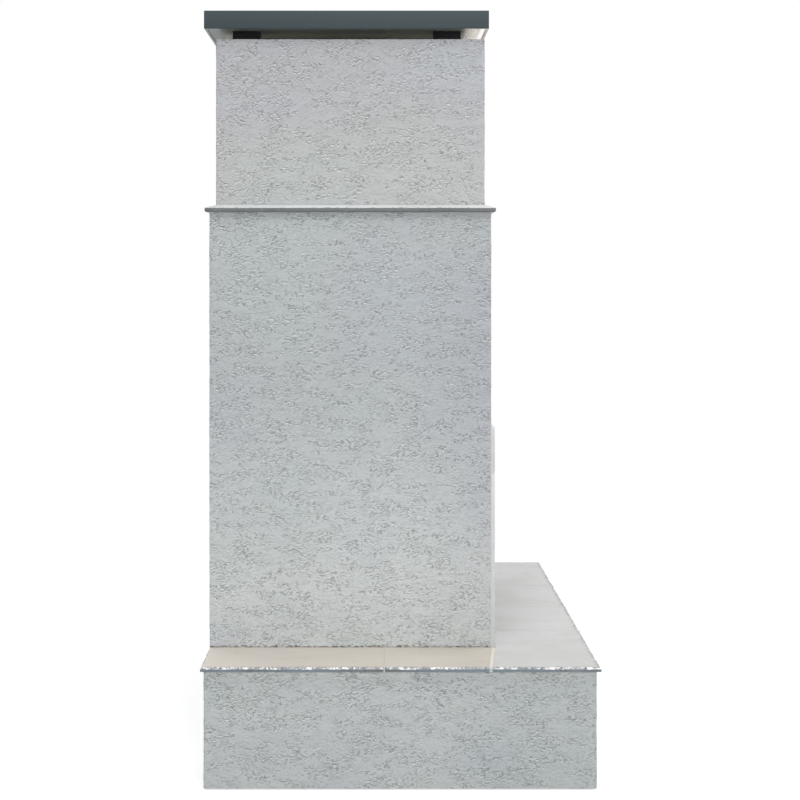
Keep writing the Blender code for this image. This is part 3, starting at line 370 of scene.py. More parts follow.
@dataclass(frozen=True)
class StuccoFinish:
    """Skip-trowelled cement stucco: level flats, and places where the trowel tore small flat pits.

    Here and in the finishes below, a Grain is a noise, a Band the two noise values between which a
    mark eases in, and a share, cut, rise or tone says how much of the mark is laid on.
    """

    name: str
    low_shade: Shade
    high_shade: Shade
    low_height: float
    high_height: float
    cool: Shade = (176, 184, 194)
    green: Shade = (184, 196, 194)
    # The colour of the painted shade in the pits, along ridge lines and in trowel skips.
    pit: Shade = (92, 99, 101)
    # The colour of the painted highlight on the lower lip of each pit.
    lip: Shade = (250, 252, 251)
    # The colour of the painted line of contact shade at the foot.
    foot_stain: Shade = (126, 118, 107)
    foot: float = -1.0
    weathering: ToneDrift | None = None
    stroke: Point = (1.0, 1.0, 2.3)
    swathe: Point = (1.0, 1.0, 2.6)
    rake: Point = (1.0, 1.0, 3.4)
    drifting: Point = (1.0, 1.0, 1.3)
    crowds: Grain = Grain(14.0, 4.0, 0.62)
    crowded: Band = (0.42, 0.58)
    in_crowd: float = 0.82
    alone: float = 0.18
    tears: Grain = Grain(128.0, 2.0, 0.6, 0.5)
    torn_out: Band = (0.55, 0.62)
    left_whole: Band = (0.54, 0.46)
    lip_drop: float = 0.0028
    skips: Grain = Grain(57.6, 4.0, 0.6, 0.6)
    skipped: Band = (0.57, 0.595)
    skips_in_crowd: float = 0.5
    skips_alone: float = 0.3
    ridges: Grain = Grain(24.0, 4.0, 0.6)
    ridge_middle: float = 0.5
    ridge_width: float = 0.014
    pit_depth: float = 0.0032
    level: float = 0.8
    pit_cut: float = 0.7
    skip_cut: float = 0.22
    ridge_cut: float = 0.12
    tear_rise: float = 0.3
    lip_rise: float = 0.15
    patches: Grain = Grain(2.6)
    cool_band: Band = (0.48, 0.68)
    green_band: Band = (0.52, 0.32)
    patch_share: float = 0.3
    base_tone: float = 0.06
    # Shares of painted shade in the pits, on the ridge lines and in the skips.
    pit_tone: float = 0.28
    ridge_tone: float = 0.03
    skip_tone: float = 0.05
    crowd_tone: float = 0.03
    # Share of the painted highlight on the lips.
    lip_tone: float = 0.65
    foot_wander: float = 0.02
    foot_middle: float = 0.35
    foot_band: Band = (0.0015, -0.001)
    foot_gaps: Band = (0.44, 0.52)
    foot_share: float = 0.75
    foot_least: float = 0.15
    roughness: float = 0.9

    def dress(self) -> bpy.types.Material:
        """Make the stucco's material.

        Returns:
            The material.
        """
        board = ShaderBoard(self.name)
        stroked, broad = board.place(self.stroke), board.place(self.swathe)
        crowd = board.span(board.noise(broad, self.crowds), *self.crowded)
        shared = crowd * self.in_crowd + self.alone
        torn = board.noise(stroked, self.tears)
        above = board.noise(board.place(self.stroke, rise=self.lip_drop), self.tears)
        loose = board.noise(broad, self.skips)
        pits = board.span(torn, *self.torn_out) * shared
        # A painted highlight on the lower lip below each pit.
        lit_lips = board.span(above, *self.torn_out) * board.span(torn, *self.left_whole) * shared
        skips = board.span(loose, *self.skipped) * (crowd * self.skips_in_crowd + self.skips_alone)
        crest = abs(board.noise(board.place(self.rake), self.ridges) - self.ridge_middle)
        ridge = 1.0 - board.span(crest, 0.0, self.ridge_width)
        height = (self.level - pits * self.pit_cut - skips * self.skip_cut - ridge * self.ridge_cut
                  + torn * self.tear_rise + lit_lips * self.lip_rise)
        # Painted shade: darker in the pits, along the ridge lines and in the trowel skips.
        dark = (pits * self.pit_tone + ridge * self.ridge_tone + skips * self.skip_tone
                - crowd * self.crowd_tone + self.base_tone)
        colour = board.tint(dark, self.ground(board), linear(self.pit))
        # Lay the painted highlight on the lips.
        colour = board.tint(lit_lips * self.lip_tone, colour, linear(self.lip))
        colour = self.stained(board, colour, torn, loose)
        if self.weathering:
            colour = self.weathering.over(board, colour)
        return board.finish(Base_Color=colour, Roughness=self.roughness,
                            Normal=board.bump(height, self.pit_depth))

    def ground(self, board: ShaderBoard) -> Wire:
        """Mix the coat's colour before its marks: its own tone from patch to patch, and a change with height that
        paints light.

        Args:
            board: The material's nodes.

        Returns:
            A colour that changes with the height and from patch to patch.
        """
        # The change with height paints light: paler low on the column, paler at the base's top to cancel the
        # slab's shadow, and a little darker towards the chimney's top.
        drift = board.span(board.axis(Axis.Z), self.low_height, self.high_height)
        colour = board.tint(drift, linear(self.low_shade), linear(self.high_shade))
        patch = board.noise(board.place(self.drifting), self.patches)
        cool = board.span(patch, *self.cool_band) * self.patch_share
        green = board.span(patch, *self.green_band) * self.patch_share
        return board.tint(green, board.tint(cool, colour, linear(self.cool)), linear(self.green))

    def stained(self, board: ShaderBoard, colour: Wire, torn: Wire, loose: Wire) -> Wire:
        """Paint a broken dark line of contact shade along the coat's foot.

        Args:
            board: The material's nodes.
            colour: The colour before the line.
            torn: The noise that makes the line wander.
            loose: The noise that breaks it.

        Returns:
            The colour with the line.
        """
        rise = board.axis(Axis.Z) - self.foot - (torn - self.foot_middle) * self.foot_wander
        gaps = board.span(loose, *self.foot_gaps) * self.foot_share + self.foot_least
        return board.tint(board.span(rise, *self.foot_band) * gaps, colour, linear(self.foot_stain))


@dataclass(frozen=True)
class StoneTileFinish:
    """Matt stone-look tile: a ground, drifting patches, thin veins, and wear at an exposed rim."""

    name: str
    ground: Shade
    patch: Shade
    vein: Shade
    patch_share: float = 0.6
    vein_share: float = 0.4
    stretch: Point = (1.0, 1.0, 1.0)
    roughness: float = 0.52
    rim: tuple[float, float] = (0.0, 0.0)
    weathering: ToneDrift | None = None
    patches: Grain = Grain(6.5, 4.0, 0.6, 0.6)
    patched: Band = (0.46, 0.62)
    veins: Grain = Grain(4.2, 5.0, 0.65, 1.6)
    vein_turn: Point = (0.0, 0.0, 0.7)
    vein_middle: float = 0.5
    vein_width: float = 0.03
    specks: Grain = Grain(240.0, 2.0, 0.6)
    specked: Band = (0.56, 0.72)
    speck_share: float = 0.18
    rim_depth: float = 0.018
    rim_clear: float = 0.3
    rim_shade: Shade = (126, 106, 90)
    wear: Grain = Grain(110.0, 4.0, 0.7, 0.4)
    worn: Band = (0.48, 0.56)
    wear_share: float = 0.75
    dimples: Grain = Grain(55.0, 4.0, 0.6)
    dimple_depth: float = 0.0004
    rough_band: Band = (0.4, 0.65)
    smoother: float = 0.06
    rougher: float = 0.1

    def dress(self) -> bpy.types.Material:
        """Make the tile's material.

        Returns:
            The material.
        """
        board = ShaderBoard(self.name)
        place = board.place(self.stretch)
        cloud = board.noise(place, self.patches)
        patchy = board.span(cloud, *self.patched) * self.patch_share
        colour = board.tint(patchy, linear(self.ground), linear(self.patch))
        drift = board.noise(board.place(self.stretch, self.vein_turn), self.veins)
        vein = 1.0 - board.span(abs(drift - self.vein_middle), 0.0, self.vein_width)
        colour = board.tint(vein * self.vein_share, colour, linear(self.vein))
        speck = board.span(board.noise(place, self.specks), *self.specked)
        colour = board.tint(speck * self.speck_share, colour, linear(self.vein))
        if any(self.rim):
            colour = self.rimmed(board, colour)
        if self.weathering:
            colour = self.weathering.over(board, colour)
        rough = board.span(cloud, *self.rough_band, self.roughness - self.smoother,
                           self.roughness + self.rougher)
        normal = board.bump(board.noise(place, self.dimples), self.dimple_depth)
        return board.finish(Base_Color=colour, Roughness=rough, Normal=normal)

    def rimmed(self, board: ShaderBoard, colour: Wire) -> Wire:
        """Wear the tile brown towards the rim of the whole slab.

        Args:
            board: The material's nodes.
            colour: The colour before the wear.

        Returns:
            The colour with the wear.
        """
        side, front = (board.span(abs(board.axis(axis)), limit - self.rim_depth,
                                  limit - self.rim_depth * self.rim_clear)
                       for axis, limit in zip((Axis.X, Axis.Y), self.rim))
        worn = board.span(board.noise(board.place(), self.wear), *self.worn)
        share = side.larger(front) * worn * self.wear_share
        return board.tint(share, colour, linear(self.rim_shade))


@dataclass(frozen=True)
class BrokenEdgeFinish:
    """The pale body of a tile's chipped arris: grey hollows, a brown crest and dark nicks."""

    name: str
    crest_height: float
    body: Shade = (240, 240, 239)
    hollow: Shade = (140, 145, 149)
    crest: Shade = (126, 110, 96)
    nick: Shade = (92, 104, 112)
    chips: Grain = Grain(66.0, 5.0, 0.74, 0.4)
    chipped: Band = (0.44, 0.56)
    runs: Grain = Grain(15.0, 2.0)
    run_band: Band = (0.4, 0.49)
    in_run: float = 0.7
    alone: float = 0.3
    grit: Grain = Grain(330.0, 3.0, 0.7)
    gritty: Band = (0.42, 0.56)
    crest_depth: float = 0.0012
    crest_share: float = 0.55
    nicks: Grain = Grain(85.0, 3.0, 0.6)
    nicked: Band = (0.565, 0.6)
    nick_depth: float = 0.0055
    nick_full: float = 0.5
    nick_share: float = 0.85
    roughness: float = 0.62
    grit_depth: float = 0.0012

    def dress(self) -> bpy.types.Material:
        """Make the broken edge's material.

        Returns:
            The material.
        """
        board = ShaderBoard(self.name)
        place, height = board.place(), board.axis(Axis.Z)
        run = board.span(board.noise(place, self.runs), *self.run_band)
        chip = board.span(board.noise(place, self.chips), *self.chipped)
        bare = chip * (run * self.in_run + self.alone)
        colour = board.tint(bare, linear(self.hollow), linear(self.body))
        grit = board.noise(place, self.grit)
        crest = board.span(height, self.crest_height - self.crest_depth, self.crest_height)
        brown = crest * board.span(grit, *self.gritty) * self.crest_share
        colour = board.tint(brown, colour, linear(self.crest))
        upper = board.span(height, self.crest_height - self.nick_depth,
                           self.crest_height - self.nick_depth * self.nick_full)
        nick = board.span(board.noise(place, self.nicks), *self.nicked)
        colour = board.tint(upper * nick * self.nick_share, colour, linear(self.nick))
        return board.finish(Base_Color=colour, Roughness=self.roughness,
                            Normal=board.bump(grit, self.grit_depth))


@dataclass(frozen=True)
class CementFinish:
    """Mortar, grout, board or other plain cement, with sandy grain."""

    name: str
    shade: Shade
    stain: Shade
    roughness: float = 0.92
    stains: Grain = Grain(7.0, 5.0, 0.6)
    stained: Band = (0.45, 0.68)
    stain_share: float = 0.55
    sand: Grain = Grain(420.0, 2.0, 0.7)
    sandy: Band = (0.55, 0.7)
    sand_share: float = 0.3
    sand_depth: float = 0.0004

    def dress(self) -> bpy.types.Material:
        """Make the cement's material.

        Returns:
            The material.
        """
        board = ShaderBoard(self.name)
        place = board.place()
        stain = board.span(board.noise(place, self.stains), *self.stained)
        colour = board.tint(stain * self.stain_share, linear(self.shade), linear(self.stain))
        sand = board.noise(place, self.sand)
        sandy = board.span(sand, *self.sandy) * self.sand_share
        colour = board.tint(sandy, colour, linear(self.stain))
        return board.finish(Base_Color=colour, Roughness=self.roughness,
                            Normal=board.bump(sand, self.sand_depth))


@dataclass(frozen=True)
class PaintedSteelFinish:
    """Sprayed or powder-coated steel: orange peel, dust and a few scuffs."""

    name: str
    shade: Shade
    dust: Shade
    roughness: float = 0.42
    metallic: float = 0.0
    scuffs: float = 0.25
    gloss: float = 0.5
    clouds: Grain = Grain(5.0, 4.0, 0.6)
    dusty: Band = (0.42, 0.66)
    dust_share: float = 0.3
    scratches: Grain = Grain(9.0)
    scratch_stretch: Point = (3.0, 3.0, 22.0)
    scratch_turn: Point = (0.4, 0.0, 0.0)
    scratched: Band = (0.66, 0.71)
    handling: Grain = Grain(6.0)
    handled: Band = (0.52, 0.6)
    rough_band: Band = (0.35, 0.7)
    smoother: float = 0.05
    rougher: float = 0.12
    scuff_roughness: float = 0.2
    peel: Grain = Grain(700.0, 2.0)
    peel_depth: float = 0.00012

    def dress(self) -> bpy.types.Material:
        """Make the coated steel's material.

        Returns:
            The material.
        """
        board = ShaderBoard(self.name)
        place = board.place()
        cloud = board.noise(place, self.clouds)
        dusty = board.span(cloud, *self.dusty) * self.dust_share
        colour = board.tint(dusty, linear(self.shade), linear(self.dust))
        scratch = board.noise(board.place(self.scratch_stretch, self.scratch_turn), self.scratches)
        handled = board.span(board.noise(place, self.handling), *self.handled)
        mark = board.span(scratch, *self.scratched) * handled
        colour = board.tint(mark * self.scuffs, colour, linear(self.dust))
        rough = board.span(cloud, *self.rough_band, self.roughness - self.smoother,
                           self.roughness + self.rougher)
        normal = board.bump(board.noise(place, self.peel), self.peel_depth)
        return board.finish(Base_Color=colour, Roughness=rough + mark * self.scuff_roughness,
                            Metallic=self.metallic, Specular_IOR_Level=self.gloss, Normal=normal)


@dataclass(frozen=True)
class SoffitFinish:
    """Satin sheet under the cap, with painted light and shade: a painted pool of light in front, polished to
    mirror metal, greyer at the back, and soot with painted shade between, darker towards the sides.
    """

    name: str
    # The front's colour: a painted pool of light.
    pale: Shade = (254, 250, 245)
    grey: Shade = (152, 159, 157)
    # Soot with painted shade between the posts: paler deep in, darker towards the sides.
    thin_soot: Shade = (246, 246, 238)
    thick_soot: Shade = (134, 137, 133)
    mirror: bool = True
    clean_back: float = 0.465
    clean_front: float = -0.180
    edge: float = 0.008
    soot_reach: Band = (0.41, 0.53)
    clouds: Grain = Grain(16.0, 4.0, 0.6)
    cloud_share: float = 0.2
    soot_share: float = 0.86
    roughness: float = 0.5
    polish: float = 0.37
    smoked_metal: float = 0.3
    relief: float = 0.0001

    def dress(self) -> bpy.types.Material:
        """Make the soffit's material.

        Returns:
            The material.
        """
        board = ShaderBoard(self.name)
        deep = board.axis(Axis.Y)
        cloud = board.noise(board.place(), self.clouds)
        # A painted pool of light at the front, also made mirror metal.
        bright = board.span(deep, self.clean_front + self.edge, self.clean_front - self.edge)
        reached = board.span(deep, self.clean_back + self.edge, self.clean_back - self.edge)
        # Soot and painted shade in the middle, darkening towards the sides.
        smoked = (1.0 - bright) * reached
        thick = board.span(abs(board.axis(Axis.X)), *self.soot_reach)
        soot = board.tint(thick, linear(self.thin_soot), linear(self.thick_soot))
        cloudy = cloud * self.cloud_share + self.soot_share
        colour = board.tint(smoked * cloudy, linear(self.grey), soot)
        colour = board.tint(bright, colour, linear(self.pale))
        normal = board.bump(cloud, self.relief)
        if not self.mirror:
            return board.finish(Base_Color=colour, Roughness=self.roughness, Normal=normal)
        return board.finish(Base_Color=colour, Roughness=self.roughness - bright * self.polish,
                            Metallic=bright + smoked * self.smoked_metal, Normal=normal)


@dataclass(frozen=True)
class GalvanisedFinish:
    """Zinc-coated sheet with its crystal spangle, sooted where smoke runs."""

    name: str
    soot: float = 0.45
    dull_crystal: Shade = (150, 155, 158)
    bright_crystal: Shade = (196, 200, 203)
    soot_shade: Shade = (40, 37, 34)
    crystals_per_metre: float = 70.0
    crystal_share: float = 0.6
    smoke: Grain = Grain(9.0, 5.0, 0.65)
    smoked: Band = (0.42, 0.66)
    roughness: float = 0.3
    crystal_roughness: float = 0.14
    soot_roughness: float = 0.4
    soot_dulling: float = 0.8
    crystal_depth: float = 0.00015

    def dress(self) -> bpy.types.Material:
        """Make the zinc's material.

        Returns:
            The material.
        """
        board = ShaderBoard(self.name)
        place = board.place()
        crystal = board.cells(place, self.crystals_per_metre, "Color")
        tone = board.node("ShaderNodeSeparateColor", {}, {0: crystal}, 0)
        colour = board.tint(tone * self.crystal_share, linear(self.dull_crystal),
                            linear(self.bright_crystal))
        soot = board.span(board.noise(place, self.smoke), *self.smoked)
        colour = board.tint(soot * self.soot, colour, linear(self.soot_shade))
        rough = (tone * self.crystal_roughness + self.roughness
                 + soot * self.soot * self.soot_roughness)
        return board.finish(Base_Color=colour, Roughness=rough,
                            Metallic=1.0 - soot * self.soot * self.soot_dulling,
                            Normal=board.bump(tone, self.crystal_depth))


@dataclass(frozen=True)
class FireBrickFinish:
    """Sandy refractory brick whose tone changes from brick to brick, smoked towards the top."""

    name: str
    pale: Shade = (206, 186, 150)
    deep: Shade = (171, 143, 106)
    soot: Shade = (52, 46, 41)
    grit: Grain = Grain(260.0, 3.0, 0.7)
    gritty: Band = (0.54, 0.68)
    grit_share: float = 0.4
    smoke: Grain = Grain(5.0, 5.0, 0.6)
    smoke_rise: Band = (0.42, 0.88)
    smoke_gain: float = 0.22
    smoked: Band = (0.5, 0.82)
    smoke_share: float = 0.75
    pits_per_metre: float = 130.0
    pitted: Band = (0.1, 0.3)
    pit_depth: float = 0.0007
    roughness: float = 0.93

    def dress(self) -> bpy.types.Material:
        """Make the brick's material.

        Returns:
            The material.
        """
        board = ShaderBoard(self.name)
        place = board.place()
        tone = board.node("ShaderNodeAttribute", {"attribute_name": BrickPanel.TONE}, {}, "Fac")
        colour = board.tint(tone, linear(self.pale), linear(self.deep))
        grit = board.noise(place, self.grit)
        gritty = board.span(grit, *self.gritty) * self.grit_share
        colour = board.tint(gritty, colour, linear(self.deep))
        higher = board.span(board.axis(Axis.Z), *self.smoke_rise, 0.0, self.smoke_gain)
        smoke = board.span(board.noise(place, self.smoke) + higher, *self.smoked)
        colour = board.tint(smoke * self.smoke_share, colour, linear(self.soot))
        pits = board.span(board.cells(place, self.pits_per_metre), *self.pitted)
        return board.finish(Base_Color=colour, Roughness=self.roughness,
                            Normal=board.bump(pits + grit, self.pit_depth))


@dataclass(frozen=True)
class CastIronFinish:
    """Sand-cast iron with a little ash and rust."""

    name: str
    shade: Shade = (50, 49, 48)
    rust_shade: Shade = (104, 72, 52)
    rust: Grain = Grain(16.0, 5.0, 0.65)
    rusty: Band = (0.54, 0.7)
    rust_share: float = 0.45
    roughness: float = 0.6
    rust_roughness: float = 0.2
    metallic: float = 0.55
    rust_dulling: float = 0.4
    casting: Grain = Grain(420.0, 3.0, 0.7)
    casting_depth: float = 0.0005

    def dress(self) -> bpy.types.Material:
        """Make the iron's material.

        Returns:
            The material.
        """
        board = ShaderBoard(self.name)
        place = board.place()
        rust = board.span(board.noise(place, self.rust), *self.rusty)
        colour = board.tint(rust * self.rust_share, linear(self.shade), linear(self.rust_shade))
        cast = board.noise(place, self.casting)
        return board.finish(Base_Color=colour,
                            Roughness=rust * self.rust_roughness + self.roughness,
                            Metallic=self.metallic - rust * self.rust_dulling,
                            Normal=board.bump(cast, self.casting_depth))


@dataclass(frozen=True)
class WovenWireFinish:
    """Woven steel curtain: crossing wires on the cloth's own UV map, open between them."""

    name: str
    pitch: float = 0.0036
    wire_share: float = 0.42
    turn: float = pi / 4
    softness: float = 0.06
    dark_wire: Shade = (38, 38, 39)
    light_wire: Shade = (74, 73, 72)
    heat_marks: Grain = Grain(30.0)
    marked: Band = (0.4, 0.65)
    roughness: float = 0.42
    metallic: float = 0.8
    wire_depth: float = 0.0006

    def dress(self) -> bpy.types.Material:
        """Make the woven wire's material.

        Returns:
            The material.
        """
        board = ShaderBoard(self.name)
        flat = board.node("ShaderNodeUVMap", {"uv_map": MeshCurtain.UV}, {})
        first, second = (self.wires(board, flat, turn) for turn in (self.turn, -self.turn))
        cover = first.larger(second)
        edge = cos(self.wire_share * pi / 2)
        alpha = board.span(cover, edge - self.softness, edge + self.softness)
        tone = board.span(board.noise(board.place(), self.heat_marks), *self.marked)
        colour = board.tint(tone, linear(self.dark_wire), linear(self.light_wire))
        return board.finish(Base_Color=colour, Roughness=self.roughness, Metallic=self.metallic,
                            Alpha=alpha, Normal=board.bump(cover, self.wire_depth))

    def wires(self, board: ShaderBoard, flat: Wire, turn: float) -> Wire:
        """Draw one of the two sets of parallel wires.

        Args:
            board: The material's nodes.
            flat: The cloth's flat cut.
            turn: The way the wires run, in radians.

        Returns:
            A wave that is 1 on the wires and 0 between them.
        """
        turned = board.node("ShaderNodeMapping", {}, {"Vector": flat, "Rotation": (0.0, 0.0, turn)})
        across = board.node("ShaderNodeSeparateXYZ", {}, {0: turned}, "X")
        return abs((across * (pi / self.pitch)).wave())


class Bench:
    """Modelling steps shared by the pieces, done with Blender's operators.

    Places within MERGE metres are one. A face looks along an axis from FACING of its normal on,
    and two faces that bend by up to FLAT degrees are one.
    """

    MERGE = 0.00002
    FACING = 0.5
    FLAT = 0.5

    @staticmethod
    def take(piece: bpy.types.Object) -> None:
        """Select one piece alone and make it active.

        Args:
            piece: The piece.
        """
        bpy.ops.object.select_all(action="DESELECT")
        piece.select_set(True)
        bpy.context.view_layer.objects.active = piece

    @staticmethod
    @contextmanager
    def editing(piece: bpy.types.Object, parts: Parts) -> Iterator[None]:
        """Open a piece in edit mode with nothing selected.

        Args:
            piece: The mesh to edit.
            parts: What the edit will select.

        Returns:
            A context in which the piece stays open.
        """
        Bench.take(piece)
        bpy.ops.object.mode_set(mode="EDIT")
        bpy.ops.mesh.select_mode(type=parts.value)
        bpy.ops.mesh.select_all(action="DESELECT")
        try:
            yield
        finally:
            bpy.ops.object.mode_set(mode="OBJECT")

    @staticmethod
    def pick(piece: bpy.types.Object, parts: Parts, test: Test) -> None:
        """Select what passes a test, in edit mode, and nothing else.

        Args:
            piece: The mesh being edited.
            parts: What to look through.
            test: Says whether a vertex, edge or face is wanted.
        """
        bpy.ops.mesh.select_all(action="DESELECT")
        shape = bmesh.from_edit_mesh(piece.data)
        shape.normal_update()
        for item in [item for item in getattr(shape, parts.name.lower()) if test(item)]:
            item.select_set(True)
        shape.select_flush_mode()
        bmesh.update_edit_mesh(piece.data)

    @staticmethod
    def box(name: str, low: Sequence[float], high: Sequence[float]) -> bpy.types.Object:
        """Add a cube at its size and place, with its origin at the world's.

        Args:
            name: The piece's name.
            low: Its lowest corner.
            high: Its highest corner.

        Returns:
            The piece.
        """
        low, high = Vector(low), Vector(high)
        bpy.ops.object.select_all(action="DESELECT")
        bpy.ops.mesh.primitive_cube_add(size=1, location=(low + high) / 2, scale=high - low)
        return Bench.settle(name)

    @staticmethod
    def disc(name: str, sides: int, radius: float, depth: float,
             bottom: float = 0.0) -> bpy.types.Object:
        """Add an upright cylinder over the world's origin.

        Args:
            name: The piece's name.
            sides: How many flat sides it has.
            radius: Its radius to the corners.
            depth: Its height.
            bottom: The height of its lower face.

        Returns:
            The piece.
        """
        bpy.ops.object.select_all(action="DESELECT")
        bpy.ops.mesh.primitive_cylinder_add(vertices=sides, radius=radius, depth=depth,
                                            location=(0, 0, bottom + depth / 2))
        return Bench.settle(name)

    @staticmethod
    def settle(name: str) -> bpy.types.Object:
        """Name the active piece and move its place into its mesh.

        Args:
            name: The piece's name.

        Returns:
            The piece.
        """
        piece = bpy.context.view_layer.objects.active
        piece.name = piece.data.name = name
        bpy.ops.object.transform_apply(location=True, rotation=True, scale=True)
        return piece

    @staticmethod
    def copy_of(node: str, name: str) -> bpy.types.Object:
        """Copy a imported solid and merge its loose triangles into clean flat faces.

        Args:
            node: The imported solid.
            name: The copy's name.

        Returns:
            The copy, with no material.
        """
        source = frame["nodes"][node]
        piece = bpy.data.objects.new(name, source.data.copy())
        bpy.context.scene.collection.objects.link(piece)
        piece.data.name = name
        piece.data.materials.clear()
        with Bench.editing(piece, Parts.VERTS):
            bpy.ops.mesh.select_all(action="SELECT")
            bpy.ops.mesh.remove_doubles(threshold=Bench.MERGE)
            bpy.ops.mesh.customdata_custom_splitnormals_clear()
            bpy.ops.mesh.dissolve_limited(angle_limit=radians(Bench.FLAT))
        return piece

    @staticmethod
    def modify(piece: bpy.types.Object, kind: str, **settings: object) -> None:
        """Add a modifier, set it and apply it.

        Args:
            piece: The mesh to change.
            kind: The modifier's type.
            settings: Its properties.
        """
        Bench.take(piece)
        modifier = piece.modifiers.new(kind.title(), kind)
        for name, value in settings.items():
            setattr(modifier, name, value)
        bpy.ops.object.modifier_apply(modifier=modifier.name)

    @staticmethod
    def ease(piece: bpy.types.Object, width: float, segments: int = 2, angle: float = 35.0) -> None:
        """Round a piece's sharp edges and shade it smooth.

        Args:
            piece: The mesh to change.
            width: How far the rounding reaches from each edge.
            segments: How many faces it takes.
            angle: The bend in degrees from which an edge is sharp.
        """
        Bench.modify(piece, "BEVEL", width=width, segments=segments, limit_method="ANGLE",
                     angle_limit=radians(angle), harden_normals=False, use_clamp_overlap=True)
        Bench.smooth(piece)

    @staticmethod
    def smooth(piece: bpy.types.Object, angle: float = 40.0) -> None:
        """Shade a piece smooth up to an angle."""
        Bench.take(piece)
        bpy.ops.object.shade_smooth_by_angle(angle=radians(angle))

    @staticmethod
    def join(name: str, pieces: Sequence[bpy.types.Object]) -> bpy.types.Object:
        """Join pieces into one object.

        Args:
            name: The joined object's name.
            pieces: What to join, the first one staying.

        Returns:
            The joined object.
        """
        Bench.take(pieces[0])
        for piece in pieces:
            piece.select_set(True)
        bpy.ops.object.join()
        joined = bpy.context.view_layer.objects.active
        joined.name = joined.data.name = name
        return joined

    @staticmethod
    def copies(piece: bpy.types.Object, places: Sequence[Vector]) -> list[bpy.types.Object]:
        """Set a piece at the first place, and a copy with its own mesh at each of the others.

        Args:
            piece: The piece, modelled about the origin.
            places: Where the pieces go.

        Returns:
            The piece and its copies.
        """
        made = []
        for place in places[1:]:
            other = bpy.data.objects.new(piece.name, piece.data.copy())
            bpy.context.scene.collection.objects.link(other)
            other.data.transform(Matrix.Translation(place))
            made.append(other)
        piece.data.transform(Matrix.Translation(places[0]))
        return [piece, *made]


class Dresser:
    """Gives pieces their body, slot and materials, and reports each one."""

    def __init__(self, finishes: Mapping[str, Finish]) -> None:
        """Make each finish's material once.

        Args:
            finishes: Finish by name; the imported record's slots are among the names.
        """
        self.materials = {name: made.dress() for name, made in finishes.items()}
        self.node_slots = {part["node"]: part["material_slot"]
                           for part in frame["record"]["subparts"]}

    def dress(self, piece: bpy.types.Object, slot: str, *more: str) -> None:
        """Put a slot's material on a piece without one, and more finishes behind it.

        Args:
            piece: The piece.
            slot: The record's material slot.
            more: Further finishes, by material number.
        """
        if not piece.data.materials:
            for name in (slot, *more):
                piece.data.materials.append(self.materials[name])

    def place(self, piece: bpy.types.Object, slot: str, body: Body = Body.FIXED,
              stands_for: Sequence[str] = (), finish: str = "") -> bpy.types.Object:
        """Dress a finished piece and set it on its body.

        Args:
            piece: The finished piece.
            slot: The record's material slot.
            body: The body it rides on.
            stands_for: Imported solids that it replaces.
            finish: The finish to show in place of the slot's own.

        Returns:
            The piece.
        """
        self.dress(piece, slot)
        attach(piece, body.value)
        if stands_for:
            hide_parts(*stands_for)
        if finish:
            piece.data.materials[0] = self.materials[finish]
        LOG.info("%s: %d faces on %s", piece.name, len(piece.data.polygons), body.value)
        return piece

    def carry_over(self) -> None:
        """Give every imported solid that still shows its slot's material."""
        for name, node in frame["nodes"].items():
            if not node.hide_render:
                node.data.materials.clear()
                node.data.materials.append(self.materials[self.node_slots[name]])
                LOG.info("%s: kept, %s", name, self.node_slots[name])


